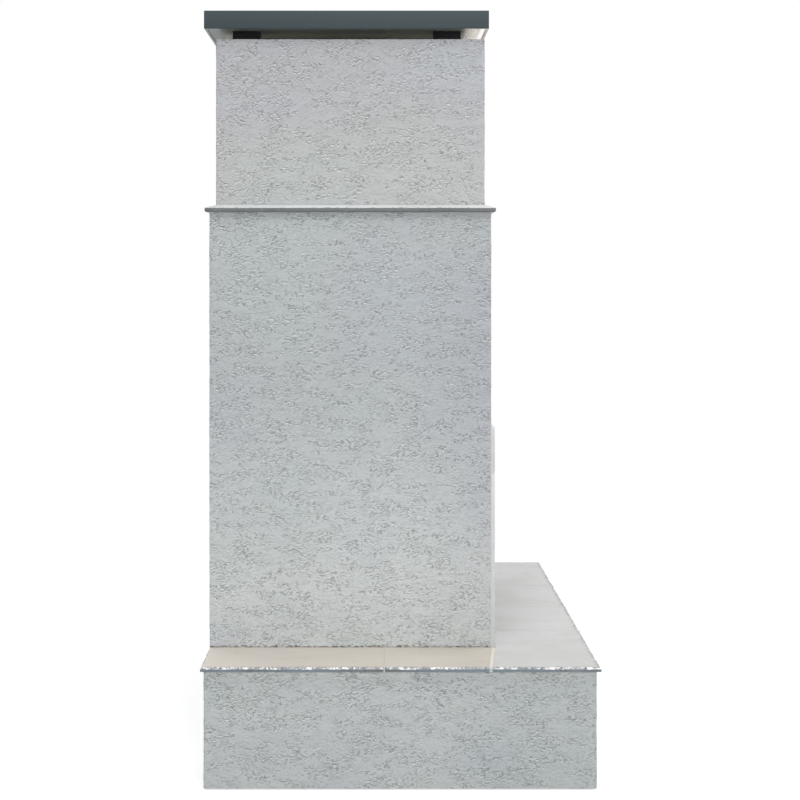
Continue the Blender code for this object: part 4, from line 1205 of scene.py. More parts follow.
@dataclass
class StuccoCoat:
    """One storey's trowelled stucco: a ring of wall with uneven faces and soft corners."""

    node: str
    columns: int
    rows: int
    relief: float = 0.0016
    corner: float = 0.004
    corner_steps: int = 3
    thickness: float = 0.012
    foot_gap: float = 0.0
    seed: float = 0.0
    finish: str = "stucco"
    rim_finish: str = ""
    stroke: float = 2.2
    middle: float = 0.42
    broad: Swell = Swell(7.0, 0.3)
    skips: Swell = Swell(26.0, 0.32)
    grit: Swell = Swell(68.0, 0.34)
    rags: Swell = Swell(60.0)
    tatters: Swell = Swell(170.0, 0.45)
    ragged: float = 0.1
    shortest_rise: float = 0.05
    shortest_run: float = 0.2
    level: float = 0.9
    smooth_angle: float = 50.0

    def unevenness(self, place: Vector) -> float:
        """Say how far in the trowel left the surface.

        Args:
            place: A place on the coat.

        Returns:
            A share of the relief, from 0 to 1.
        """
        level = Vector((place.x, place.y, place.z * self.stroke))
        broad = self.broad.at(level, Vector((self.seed, 0.0, 0.0)))
        skips = self.skips.at(level, Vector((0.0, self.seed, 0.0)))
        return min(max(self.middle + broad + skips + self.grit.at(level), 0.0), 1.0)

    def rises(self, edge: bmesh.types.BMEdge) -> bool:
        """Say whether an edge stands upright at a corner."""
        return abs(edge.verts[0].co.z - edge.verts[1].co.z) > self.shortest_rise

    def build(self, dresser: Dresser,
              opening: tuple[Vector, Vector] | None = None) -> bpy.types.Object:
        """Model the coat.

        Args:
            dresser: Gives the material and the body.
            opening: Corners of a box that is cut through the front.

        Returns:
            The finished coat.
        """
        low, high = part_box(self.node)
        piece = Bench.box(self.node + "_coat", low, high)
        with Bench.editing(piece, Parts.FACES):
            Bench.pick(piece, Parts.FACES, lambda face: abs(face.normal.z) > Bench.FACING)
            bpy.ops.mesh.delete(type="ONLY_FACE")
        with Bench.editing(piece, Parts.EDGES):
            Bench.pick(piece, Parts.EDGES, self.rises)
            bpy.ops.mesh.bevel(offset=self.corner, segments=self.corner_steps, affect="EDGES")
            Bench.pick(piece, Parts.EDGES, self.rises)
            bpy.ops.mesh.subdivide(number_cuts=self.rows)
            Bench.pick(piece, Parts.EDGES, lambda edge: edge.calc_length() > self.shortest_run)
            bpy.ops.mesh.subdivide(number_cuts=self.columns)
        self.trowel(piece, low.z)
        self.wall(piece, low, high)
        if opening:
            cutter = Bench.box("opening_cutter", *opening)
            Bench.modify(piece, "BOOLEAN", operation="DIFFERENCE", solver="EXACT", object=cutter)
            bpy.data.objects.remove(cutter)
        Bench.smooth(piece, self.smooth_angle)
        dresser.place(piece, "stucco", stands_for=[self.node], finish=self.finish)
        if self.rim_finish:
            piece.data.materials.append(dresser.materials[self.rim_finish])
            for face in piece.data.polygons:
                if face.normal.z > self.level and face.center.z > high.z - self.thickness:
                    face.material_index = 1
        return piece

    def trowel(self, piece: bpy.types.Object, bottom: float) -> None:
        """Press the skin in unevenly, and leave its foot ragged.

        Args:
            piece: The open skin.
            bottom: The height of its foot.
        """
        weights = piece.vertex_groups.new(name="trowel")
        for vertex in piece.data.vertices:
            weights.add([vertex.index], self.unevenness(vertex.co), "REPLACE")
        Bench.modify(piece, "DISPLACE", strength=-self.relief, mid_level=0.0, vertex_group="trowel")
        piece.vertex_groups.clear()
        for vertex in piece.data.vertices:
            if self.foot_gap and vertex.co.z < bottom + Bench.MERGE:
                ragged = self.rags.at(vertex.co) + self.tatters.at(vertex.co) + self.ragged
                vertex.co.z += self.foot_gap * min(max(0.0, ragged), 1.0)

    def wall(self, piece: bpy.types.Object, low: Vector, high: Vector) -> None:
        """Give the open skin its inner face, with a rim above and below.

        Args:
            piece: The open skin.
            low: The coat's lowest corner.
            high: Its highest corner.
        """
        size, middle = high - low, (low + high) / 2
        shrink = (1 - 2 * self.thickness / size.x, 1 - 2 * self.thickness / size.y, 1.0)
        rim, foot = high.z - Bench.MERGE, low.z + self.foot_gap + Bench.MERGE
        with Bench.editing(piece, Parts.EDGES):
            Bench.pick(piece, Parts.EDGES,
                       lambda edge: edge.is_boundary and min(v.co.z for v in edge.verts) > rim)
            bpy.ops.mesh.extrude_region_move()
            bpy.ops.transform.resize(value=shrink, center_override=middle)
            bpy.ops.mesh.extrude_region_move(
                TRANSFORM_OT_translate={"value": (0, 0, low.z - high.z)})
            Bench.pick(piece, Parts.EDGES,
                       lambda edge: edge.is_boundary and max(v.co.z for v in edge.verts) < foot)
            bpy.ops.mesh.bridge_edge_loops()
            bpy.ops.mesh.select_all(action="SELECT")
            bpy.ops.mesh.normals_make_consistent(inside=False)


@dataclass
class ChippedSlab:
    """A flat tile whose exposed arrises are broken into small chips.

    The exposed sides are given as an axis with the side's place along it.
    """

    node: str
    slot: str
    exposed: Sequence[tuple[Axis, float]]
    edge_finish: str
    arris: float = 0.0042
    bite: float = 0.0036
    pitch: float = 0.0045
    rim_height: float | None = None
    broken_finish: str = "broken_edge"
    drip: float = 0.0
    steps: int = 2
    spread: float = 1.2
    touch: float = Bench.MERGE * 5
    shortest: float = 4
    under: float = -0.2
    chips: Swell = Swell(95.0, 0.6)
    splinters: Swell = Swell(230.0, 0.4)
    patches: Swell = Swell(14.0)
    chip_middle: float = 0.35
    chip_gain: float = 0.9
    patch_middle: float = 0.5
    patch_least: float = 0.3
    drop: float = 0.8
    inward_layer: float = 1.0
    downward_layer: float = 7.0

    @property
    def near(self) -> float:
        """Return how far from an exposed side the eased arris reaches."""
        return self.arris * self.spread

    def on_rim(self, place: Vector, reach: float) -> bool:
        """Say whether a place is within reach of an exposed side."""
        return any(abs(place[axis.value] - bound) < reach for axis, bound in self.exposed)

    def on_arris(self, edge: bmesh.types.BMEdge, height: float) -> bool:
        """Say whether an edge is an exposed arris.

        Args:
            edge: The edge.
            height: The height of the arris.

        Returns:
            Whether it runs along an exposed side at that height.
        """
        on_side = any(all(abs(v.co[axis.value] - bound) < self.touch for v in edge.verts)
                      for axis, bound in self.exposed)
        return on_side and all(abs(v.co.z - height) < self.touch for v in edge.verts)

    def in_strip(self, edge: bmesh.types.BMEdge, top: float) -> bool:
        """Say whether an edge runs along the eased arris.

        Args:
            edge: The edge.
            top: The height of the arris.

        Returns:
            Whether it is level, near the arris and long enough to be divided.
        """
        spots = [v.co for v in edge.verts]
        level = abs(spots[0].z - spots[1].z) < self.touch
        close = all(self.on_rim(spot, self.near) and spot.z > top - self.near for spot in spots)
        return level and close and edge.calc_length() > self.shortest * self.pitch

    def chip(self, place: Vector, layer: float) -> float:
        """Say how deep the chipping is.

        Args:
            place: A place on the arris.
            layer: The layer of the noise to read.

        Returns:
            A share of the bite, from 0 to 1.
        """
        spot = Vector((place.x, place.y, layer))
        rough = self.chips.at(spot) + self.splinters.at(spot)
        patches = self.patch_middle + self.patches.at(spot)
        depth = max(0.0, min(1.0, self.chip_middle + self.chip_gain * rough))
        return depth * min(max(patches, self.patch_least), 1.0)

    def build(self, dresser: Dresser) -> bpy.types.Object:
        """Model the tile.

        Args:
            dresser: Gives the material and the body.

        Returns:
            The finished tile.
        """
        piece = Bench.copy_of(self.node, self.node + "_chipped")
        low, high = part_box(self.node)
        top = self.rim_height if self.rim_height is not None else high.z
        with Bench.editing(piece, Parts.EDGES):
            if self.drip:
                Bench.pick(piece, Parts.EDGES, lambda edge: self.on_arris(edge, low.z))
                bpy.ops.mesh.bevel(offset=self.drip, segments=self.steps, affect="EDGES")
            Bench.pick(piece, Parts.EDGES, lambda edge: self.on_arris(edge, top))
            bpy.ops.mesh.bevel(offset=self.arris, segments=self.steps, affect="EDGES")
            Bench.pick(piece, Parts.EDGES, lambda edge: self.in_strip(edge, top))
            bpy.ops.mesh.subdivide(number_cuts=int(max(high - low) / self.pitch))
        dresser.dress(piece, self.slot, self.broken_finish, self.edge_finish)
        for face in piece.data.polygons:
            spots = [piece.data.vertices[index].co for index in face.vertices]
            # Exposed sides and the drip's underside take the dark edge finish, partly painted shade.
            dripping = (self.drip and face.normal.z < self.under
                        and self.on_rim(face.center, self.drip))
            if dripping or all(self.on_rim(spot, self.touch) for spot in spots):
                face.material_index = 2
            elif self.on_rim(face.center, self.near) and all(
                    self.on_rim(spot, self.near) and spot.z > top - self.near for spot in spots):
                face.material_index = 1
        self.break_arris(piece, top)
        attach(piece, Body.FIXED.value)
        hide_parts(self.node)
        LOG.info("%s: %d faces", piece.name, len(piece.data.polygons))
        return piece

    def break_arris(self, piece: bpy.types.Object, top: float) -> None:
        """Push the eased arris in and down by uneven amounts.

        Args:
            piece: The tile.
            top: The height of its arris.
        """
        for vertex in piece.data.vertices:
            place = vertex.co
            sides = [(axis.value, bound) for axis, bound in self.exposed
                     if abs(place[axis.value] - bound) < self.near]
            if not sides or place.z < top - self.near:
                continue
            on_top = place.z > top - Bench.MERGE
            on_side = any(abs(place[along] - bound) < Bench.MERGE for along, bound in sides)
            if on_side and on_top:
                continue
            inward = 0.0 if on_side else self.bite * self.chip(place, self.inward_layer)
            down = 0.0 if on_top else self.bite * self.drop * self.chip(place, self.downward_layer)
            spot = place.copy()
            for along, bound in sides:
                if not on_side or abs(place[along] - bound) >= Bench.MERGE:
                    spot[along] -= inward if bound > 0 else -inward
            spot.z -= down
            vertex.co = spot


@dataclass
class Hearth:
    """The raised hearth's tiles."""

    rows: Mapping[str, str] = field(default_factory=lambda: {
        "front": "grey_tile", "front_middle": "grey_tile", "side": "beige_tile",
        "back": "beige_tile"})

    def build(self, dresser: Dresser) -> None:
        """Lay the tiles.

        Args:
            dresser: Gives the materials and the body.
        """
        low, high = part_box("hearth_tile_front_left")[0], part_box("hearth_tile_back_right")[1]
        exposed = [(Axis.X, low.x), (Axis.X, high.x), (Axis.Y, low.y), (Axis.Y, high.y)]
        for row, slot in self.rows.items():
            for side in Side:
                node = f"hearth_tile_{row}_{side.value}"
                ChippedSlab(node, slot, exposed, "tile_edge").build(dresser)


@dataclass
class MortarBed:
    """The hearth's bed and grout, pointed nearly flush: cream by the side tiles, grey in front."""

    flush: float = 0.0008
    front: float = -0.2665

    def build(self, dresser: Dresser) -> None:
        """Raise the grout and give each part its finish.

        Args:
            dresser: Gives the materials and the body.
        """
        piece = Bench.copy_of("hearth_mortar", "hearth_mortar_pointed")
        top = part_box("hearth_mortar")[1].z
        with Bench.editing(piece, Parts.VERTS):
            Bench.pick(piece, Parts.VERTS, lambda vert: vert.co.z > top - Bench.MERGE)
            bpy.ops.transform.translate(value=(0, 0, self.flush))
        dresser.dress(piece, "mortar", "grey_grout", "base_stucco")
        for face in piece.data.polygons:
            if abs(face.normal.z) < Bench.FACING:
                face.material_index = 2
            elif all(piece.data.vertices[index].co.y < self.front for index in face.vertices):
                face.material_index = 1
        dresser.place(piece, "mortar", stands_for=["hearth_mortar"])


@dataclass
class Ledge:
    """The thin mitred ledge between the storeys."""

    strips: Sequence[str] = ("front", "back", "left", "right")
    edge_height: float = 0.011
    arris: float = 0.0010
    bite: float = 0.0005
    pitch: float = 0.008
    drip: float = 0.0028

    def build(self, dresser: Dresser) -> None:
        """Lay the four strips.

        Args:
            dresser: Gives the materials and the body.
        """
        low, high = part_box("ledge_front")[0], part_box("ledge_back")[1]
        exposed = [(Axis.X, low.x), (Axis.X, high.x), (Axis.Y, low.y), (Axis.Y, high.y)]
        for strip in self.strips:
            ChippedSlab(f"ledge_{strip}", "ledge_tile", exposed, "ledge_edge", arris=self.arris,
                        bite=self.bite, pitch=self.pitch, rim_height=low.z + self.edge_height,
                        broken_finish="broken_ledge", drip=self.drip).build(dresser)


@dataclass
class FacingJoints:
    """Grout between the facing's tiles, and the sealant that closes it to the stucco."""

    bead: float = 0.002
    lap: float = 0.0025
    rake: float = 0.001
    foot: float = 0.3065

    def build(self, dresser: Dresser) -> None:
        """Point both sides of the facing, and the joint in its header's middle.

        Args:
            dresser: Gives the materials and the body.
        """
        for side in Side:
            low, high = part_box(f"facing_{side.value}")
            head_low, head_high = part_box(f"facing_header_{side.value}")
            outer = low.x if side is Side.LEFT else high.x
            edges = sorted((outer, outer - side.sign * self.bead))
            self.point(dresser, f"facing_sealant_{side.value}",
                       (edges[0], high.y - self.rake, self.foot),
                       (edges[1], high.y + self.lap, head_high.z))
            self.point(dresser, f"facing_grout_{side.value}",
                       (low.x + self.rake, low.y + self.rake, high.z),
                       (high.x - self.rake, high.y, head_low.z))
        left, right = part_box("facing_header_left"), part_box("facing_header_right")
        self.point(dresser, "facing_grout_middle",
                   (left[1].x, left[0].y + self.rake, left[0].z + self.rake),
                   (right[0].x, left[1].y, left[1].z - self.rake))

    def point(self, dresser: Dresser, name: str, low: Point, high: Point) -> None:
        """Fill one joint."""
        dresser.place(Bench.box(name, low, high), "mortar", finish="sealant")


@dataclass
class EasedParts:
    """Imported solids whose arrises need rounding, or only smooth shading where the width is none."""

    widths: Mapping[str, float] = field(default_factory=lambda: {
        "facing_": 0.0012, "cap_post_": 0.0008, "log_grate": 0.0018, "damper_frame": 0.0012,
        "damper_blade": 0.001, "opening_trim": 0.0006, "screen_pull_": 0.0006, "damper_lever": 0.0,
        "screen_rod": 0.0, "smoke_chamber": 0.0, "flue_pipe": 0.0, "spark_arrestor": 0.0,
        "firebox_shell": 0.0, "cap_soffit": 0.0})
    bodies: Mapping[str, Body] = field(default_factory=lambda: {
        "damper_blade": Body.DAMPER, "damper_lever": Body.DAMPER,
        "screen_pull_left": Body.SCREEN_LEFT, "screen_pull_right": Body.SCREEN_RIGHT})

    def build(self, dresser: Dresser) -> None:
        """Round each solid's edges in a copy that stands for it.

        Args:
            dresser: Gives the materials and the bodies.
        """
        for node in sorted(frame["nodes"]):
            width = next((w for start, w in self.widths.items() if node.startswith(start)), None)
            if width is None:
                continue
            piece = Bench.copy_of(node, node + "_eased")
            if width:
                Bench.ease(piece, width)
            else:
                Bench.smooth(piece)
            dresser.place(piece, dresser.node_slots[node], self.bodies.get(node, Body.FIXED),
                          stands_for=[node])


@dataclass
class CapTray:
    """The folded sheet cap: fascia, hem, shallow crown and soft folds."""

    hem: float = 0.008
    crown: float = 0.006
    sheet: float = 0.0015
    fold: float = 0.0022
    fold_steps: int = 3
    middle: float = 0.01
    shortest: float = 0.5
    level: float = 0.95
    smooth_angle: float = 30.0

    def build(self, dresser: Dresser) -> bpy.types.Object:
        """Fold the tray.

        Args:
            dresser: Gives the material and the body.

        Returns:
            The finished tray.
        """
        low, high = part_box("cap_tray")
        rim = high.z - self.crown
        piece = Bench.box("cap_tray_folded", low, (high.x, high.y, rim))
        with Bench.editing(piece, Parts.FACES):
            Bench.pick(piece, Parts.FACES, lambda face: face.normal.z < -Bench.FACING)
            bpy.ops.mesh.inset(thickness=self.hem)
            bpy.ops.mesh.delete(type="ONLY_FACE")
            Bench.pick(piece, Parts.FACES, lambda face: face.normal.z > Bench.FACING)
            bpy.ops.mesh.poke()
        with Bench.editing(piece, Parts.VERTS):
            Bench.pick(piece, Parts.VERTS,
                       lambda vert: vert.co.z > rim - Bench.MERGE and abs(vert.co.x) < self.middle)
            bpy.ops.transform.translate(value=(0, 0, self.crown))
        with Bench.editing(piece, Parts.EDGES):
            Bench.pick(piece, Parts.EDGES,
                       lambda edge: not edge.is_boundary and self.folded(edge, low.z))
            bpy.ops.mesh.bevel(offset=self.fold, segments=self.fold_steps, affect="EDGES")
            bpy.ops.mesh.select_all(action="SELECT")
            bpy.ops.mesh.normals_make_consistent(inside=False)
        dresser.dress(piece, "cap_metal", "backing_coat", "hem_coat", "backing_coat")
        # The hem's underside takes the hem coat, painted light in front and painted shade at its sides.
        for face in piece.data.polygons:
            if face.normal.z < -self.level:
                face.material_index = 2
        Bench.modify(piece, "SOLIDIFY", thickness=self.sheet, offset=-1.0, use_even_offset=True,
                     material_offset=1)
        Bench.smooth(piece, self.smooth_angle)
        return dresser.place(piece, "cap_metal", stands_for=["cap_tray"])

    def folded(self, edge: bmesh.types.BMEdge, foot: float) -> bool:
        """Say whether an edge is a fold or corner of the fascia.

        Args:
            edge: The edge.
            foot: The height of the fascia's foot.

        Returns:
            Whether it stands at a corner or lies long and level.
        """
        bottom, top = sorted(v.co.z for v in edge.verts)
        upright = top - bottom > self.hem and abs(bottom - foot) < Bench.MERGE
        level = top - bottom < Bench.MERGE and edge.calc_length() > self.shortest
        return upright or level


@dataclass
class ColumnCover:
    """The bright metal cover that closes the column's top round the flue."""

    node: str = "chimney_top_plate"

    def build(self, dresser: Dresser) -> None:
        """Smooth the cover and give it its bright finish.

        Args:
            dresser: Gives the materials and the body.
        """
        piece = Bench.copy_of(self.node, "column_cover")
        Bench.smooth(piece)
        dresser.place(piece, "galvanised", stands_for=[self.node], finish="zinc_flashing")


@dataclass
class Fastenings:
    """Hexagon bolts in the cap posts' feet, with their washers."""

    posts: int = 4
    head: float = 0.0065
    head_height: float = 0.0053
    head_sides: int = 6
    head_arris: float = 0.0006
    washer: float = 0.0085
    washer_height: float = 0.0014
    washer_sides: int = 24
    washer_arris: float = 0.0003
    foot: float = 0.0043

    def build(self, dresser: Dresser) -> None:
        """Make one bolt and copy it into each post.

        Args:
            dresser: Gives the material and the body.
        """
        places = []
        for number in range(1, self.posts + 1):
            low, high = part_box(f"cap_post_{number}")
            middle = (low + high) / 2
            places.append(Vector((middle.x, middle.y, low.z + self.foot)))
        head = Bench.disc("post_bolt", self.head_sides, self.head, self.head_height,
                          bottom=self.washer_height)
        Bench.ease(head, self.head_arris)
        washer = Bench.disc("post_washer", self.washer_sides, self.washer, self.washer_height)
        Bench.ease(washer, self.washer_arris, segments=1)
        bolt = Bench.join("post_bolt", [head, washer])
        for number, piece in enumerate(Bench.copies(bolt, places), start=1):
            piece.name = f"post_bolt_{number}"
            dresser.place(piece, "galvanised")


@dataclass
class BrickPanel:
    """A refractory panel of coursed bricks and raked joints, modelled flat and then set in place.

    Its lower front corner and three edges give its place: along the courses, into the wall and up.
    """

    node: str
    corner: Vector
    along: Vector
    depth: Vector
    rise: Vector
    brick_length: float = 0.228
    brick_rise: float = 0.066
    joint: float = 0.005
    rake: float = 0.0028
    brick_depth: float = 0.009
    arris: float = 0.0022
    shortest: float = 4
    tone_middle: float = 0.5
    tone_swing: float = 0.5
    tone_step_along: float = 31.0
    tone_step_up: float = 57.0
    TONE = "brick_tone"

    def courses(self) -> Iterator[tuple[float, float, float, float]]:
        """Lay out the bricks.

        Returns:
            Each brick's start, end, bottom and top on the panel's face.
        """
        length, rise, gap = self.along.length, self.rise.length, self.joint / 2
        count = max(1, round(rise / self.brick_rise))
        step = rise / count
        for course in range(count):
            start = -self.brick_length / 2 if course % 2 else 0.0
            while start < length - self.joint:
                begin, end = max(start, 0.0), min(start + self.brick_length, length)
                if end - begin > self.shortest * self.joint:
                    yield begin + gap, end - gap, course * step + gap, (course + 1) * step - gap
                start += self.brick_length

    def build(self, dresser: Dresser, outline: bool = False) -> bpy.types.Object:
        """Model the panel.

        Args:
            dresser: Gives the materials and the body.
            outline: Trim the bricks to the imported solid's own outline.

        Returns:
            The finished panel.
        """
        bricks = [self.brick(*bounds) for bounds in self.courses()]
        laid = Bench.join(self.node + "_laid", bricks)
        bed = Bench.box(self.node + "_bed", (0.0, self.rake, 0.0),
                        (self.along.length, self.depth.length, self.rise.length))
        self.tone(bed, 0.0)
        for piece in (laid, bed):
            piece.data.transform(self.frame())
        if outline:
            for piece in (laid, bed):
                mould = Bench.copy_of(self.node, "panel_outline")
                Bench.modify(piece, "BOOLEAN", operation="INTERSECT", solver="EXACT", object=mould)
                bpy.data.objects.remove(mould)
        dresser.dress(laid, "fire_brick")
        dresser.dress(bed, "fire_brick")
        bed.data.materials[0] = dresser.materials["fire_clay"]
        panel = Bench.join(self.node + "_coursed", [laid, bed])
        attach(panel, Body.FIXED.value)
        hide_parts(self.node)
        LOG.info("%s: %d faces, %d bricks", panel.name, len(panel.data.polygons), len(bricks))
        return panel

    def brick(self, begin: float, end: float, bottom: float, top: float) -> bpy.types.Object:
        """Mould one brick with a tone of its own.

        Args:
            begin: Its start along the course.
            end: Its end.
            bottom: Its foot.
            top: Its top.

        Returns:
            The brick, before the panel is set in place.
        """
        brick = Bench.box(f"{self.node}_brick", (begin, 0.0, bottom), (end, self.brick_depth, top))
        Bench.ease(brick, self.arris)
        spot = Vector((begin * self.tone_step_along, bottom * self.tone_step_up, len(self.node)))
        self.tone(brick, self.tone_middle + self.tone_swing * noise.noise(spot))
        return brick

    def frame(self) -> Matrix:
        """Find the panel's place: courses along X, depth along Y and rise along Z before it.

        Returns:
            The move from there to the panel's place in the fireplace.
        """
        columns = [self.along.normalized(), self.depth.normalized(), self.rise.normalized()]
        turn = Matrix(columns).transposed().to_4x4()
        return Matrix.Translation(self.corner) @ turn

    @classmethod
    def tone(cls, piece: bpy.types.Object, value: float) -> None:
        """Store a piece's tone on its faces."""
        tones = piece.data.attributes.new(cls.TONE, "FLOAT", "FACE")
        tones.data.foreach_set("value", [value] * len(piece.data.polygons))


@dataclass
class MeshCurtain:
    """A gathered curtain of woven wire on rings."""

    side: Side
    rod_radius: float = 0.005
    swing: float = 0.0104
    waves: int = 11
    steps: int = 10
    rows: int = 18
    samples: int = 4
    sheet: float = 0.0007
    ring_radius: float = 0.0085
    ring_wire: float = 0.0009
    ring_steps: int = 20
    wire_steps: int = 6
    sway: float = 0.25
    sway_pace: float = 0.9
    sway_drop: float = 2.0
    least_reach: float = 0.86
    more_reach: float = 0.14
    reach_pace: float = 0.5
    reach_layer: float = 4.0
    cut_height: float = 0.5
    cloth_angle: float = 80.0
    ring_angle: float = 60.0
    UV = "flat_cut"

    def build(self, dresser: Dresser) -> bpy.types.Object:
        """Hang the curtain and its rings.

        Args:
            dresser: Gives the materials and the bodies.

        Returns:
            The finished curtain.
        """
        side = self.side.value
        low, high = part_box(f"screen_curtain_{side}")
        centre = (low.y + high.y) / 2
        width, height = high.x - low.x, high.z - low.z
        bpy.ops.object.select_all(action="DESELECT")
        middle = Vector(((low.x + high.x) / 2, centre, (low.z + high.z) / 2))
        bpy.ops.mesh.primitive_grid_add(x_subdivisions=self.waves * self.steps,
                                        y_subdivisions=self.rows, size=1, location=middle,
                                        rotation=(pi / 2, 0, 0))
        piece = Bench.settle(f"screen_curtain_{side}_woven")
        with Bench.editing(piece, Parts.VERTS):
            bpy.ops.mesh.select_all(action="SELECT")
            bpy.ops.transform.resize(value=(width, 1.0, height), center_override=middle)
        flat_width = self.gather(piece, low, high, centre)
        Bench.modify(piece, "SOLIDIFY", thickness=self.sheet, offset=0.0)
        Bench.smooth(piece, self.cloth_angle)
        keep = self.kept(width)
        dresser.place(piece, "curtain_mesh", stands_for=[f"screen_curtain_{side}"],
                      finish="woven_wire")
        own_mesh(piece)
        rings = self.rings(low, high, centre)
        dresser.place(rings, "curtain_mesh")
        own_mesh(rings)
        return piece

    def kept(self, width: float) -> float:
        """Return the share of its width that the drawn curtain still takes."""
        joint = next(j for j in frame["joints"] if j["name"] == f"screen_slide_{self.side.value}")
        return (width - max(joint["range_m"])) / width

    def fold(self, across: float, share: float) -> float:
        """Shape the pleats.

        Args:
            across: A place across the cloth, as a share of its width.
            share: The same down the cloth, from its top.

        Returns:
            How far the cloth stands from its middle there.
        """
        seed, pleat = len(self.side.value), across * self.waves
        sway_spot = Vector((pleat * self.sway_pace, share * self.sway_drop, seed))
        sway = self.sway * share * noise.noise(sway_spot)
        reach_spot = Vector((pleat * self.reach_pace, self.reach_layer, seed))
        more = self.more_reach * noise.noise(reach_spot)
        return self.swing * (self.least_reach + more) * sin(tau * self.waves * across + sway)

    def gather(self, piece: bpy.types.Object, low: Vector, high: Vector, centre: float) -> float:
        """Fold the flat grid into pleats and lay out its flat cut.

        Args:
            piece: The flat grid.
            low: The curtain's lowest corner.
            high: Its highest corner.
            centre: The depth that the pleats swing about.

        Returns:
            The cloth's flat width in metres.
        """
        width, height = high.x - low.x, high.z - low.z
        count = self.waves * self.steps * self.samples
        places = [Vector((width * i / count, self.fold(i / count, self.cut_height)))
                  for i in range(count + 1)]
        lengths = [0.0]
        for first, second in zip(places, places[1:]):
            lengths.append(lengths[-1] + (second - first).length)
        for vertex in piece.data.vertices:
            across = (vertex.co.x - low.x) / width
            share = (high.z - vertex.co.z) / height
            vertex.co = (vertex.co.x, centre + self.fold(across, share), vertex.co.z)
        layout = piece.data.uv_layers[0] if piece.data.uv_layers else piece.data.uv_layers.new()
        layout.name = self.UV
        for loop in piece.data.loops:
            spot = piece.data.vertices[loop.vertex_index].co
            index = round((spot.x - low.x) / width * count)
            layout.data[loop.index].uv = (lengths[index], spot.z - low.z)
        return lengths[-1]

    def rings(self, low: Vector, high: Vector, centre: float) -> bpy.types.Object:
        """Hang one ring round the rod for each pleat.

        Args:
            low: The curtain's lowest corner.
            high: Its highest corner.
            centre: The rod's depth.

        Returns:
            The rings, as one piece.
        """
        rod_height = high.z + self.rod_radius
        drop = self.ring_radius - self.ring_wire - self.rod_radius
        bpy.ops.object.select_all(action="DESELECT")
        bpy.ops.mesh.primitive_torus_add(
            major_radius=self.ring_radius, minor_radius=self.ring_wire,
            major_segments=self.ring_steps, minor_segments=self.wire_steps, rotation=(0, pi / 2, 0))
        ring = Bench.settle("curtain_ring")
        Bench.smooth(ring, self.ring_angle)
        step = (high.x - low.x) / self.waves
        places = [Vector((low.x + step * (i + 0.5), centre, rod_height - drop))
                  for i in range(self.waves)]
        return Bench.join(f"screen_rings_{self.side.value}", Bench.copies(ring, places))


@dataclass
class Firebox:
    """The brick lining: two splayed side panels, the back panel and the floor."""

    panel: float = 0.030
    back_mitre: float = 0.0055
    floor_brick_rise: float = 0.114

    def build(self, dresser: Dresser) -> None:
        """Face each panel with bricks.

        Args:
            dresser: Gives the materials and the body.
        """
        low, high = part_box("brick_wall_back")
        inset = Vector((self.back_mitre, 0.0, 0.0))
        rise = Vector((0.0, 0.0, high.z - low.z))
        along = Vector((high.x - low.x, 0.0, 0.0)) - 2 * inset
        BrickPanel("brick_wall_back", low + inset, along, Vector((0.0, high.y - low.y, 0.0)),
                   rise).build(dresser)
        low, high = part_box("brick_wall_left")
        front = Vector((low.x + self.panel, low.y, low.z))
        splay = Vector((high.x - front.x, high.y - low.y, 0.0))
        inward = Vector((self.panel, 0.0, 0.0))
        BrickPanel("brick_wall_left", front, splay, -inward, rise).build(dresser)
        low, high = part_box("brick_wall_right")
        back = Vector((low.x, high.y, low.z))
        splay = Vector((high.x - self.panel - low.x, low.y - high.y, 0.0))
        BrickPanel("brick_wall_right", back, splay, inward, rise).build(dresser)
        low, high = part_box("brick_floor")
        size = high - low
        BrickPanel("brick_floor", Vector((low.x, low.y, high.z)), Vector((size.x, 0.0, 0.0)),
                   Vector((0.0, 0.0, -size.z)), Vector((0.0, size.y, 0.0)),
                   brick_rise=self.floor_brick_rise).build(dresser, outline=True)


@dataclass(frozen=True)
class Lamp:
    """A soft square lamp: its place, its aim, its side in metres and its power in watts."""

    name: str
    place: Point
    target: Point
    size: float
    power: float

    def hang(self) -> None:
        """Hang the lamp out of the camera's sight."""
        light = bpy.data.lights.new(self.name, "AREA")
        light.size, light.energy = self.size, self.power
        lamp = bpy.data.objects.new(self.name, light)
        lamp.location = self.place
        aim = Vector(self.target) - Vector(self.place)
        lamp.rotation_euler = aim.to_track_quat("-Z", "Y").to_euler()
        lamp.visible_camera = False
        bpy.context.scene.collection.objects.link(lamp)


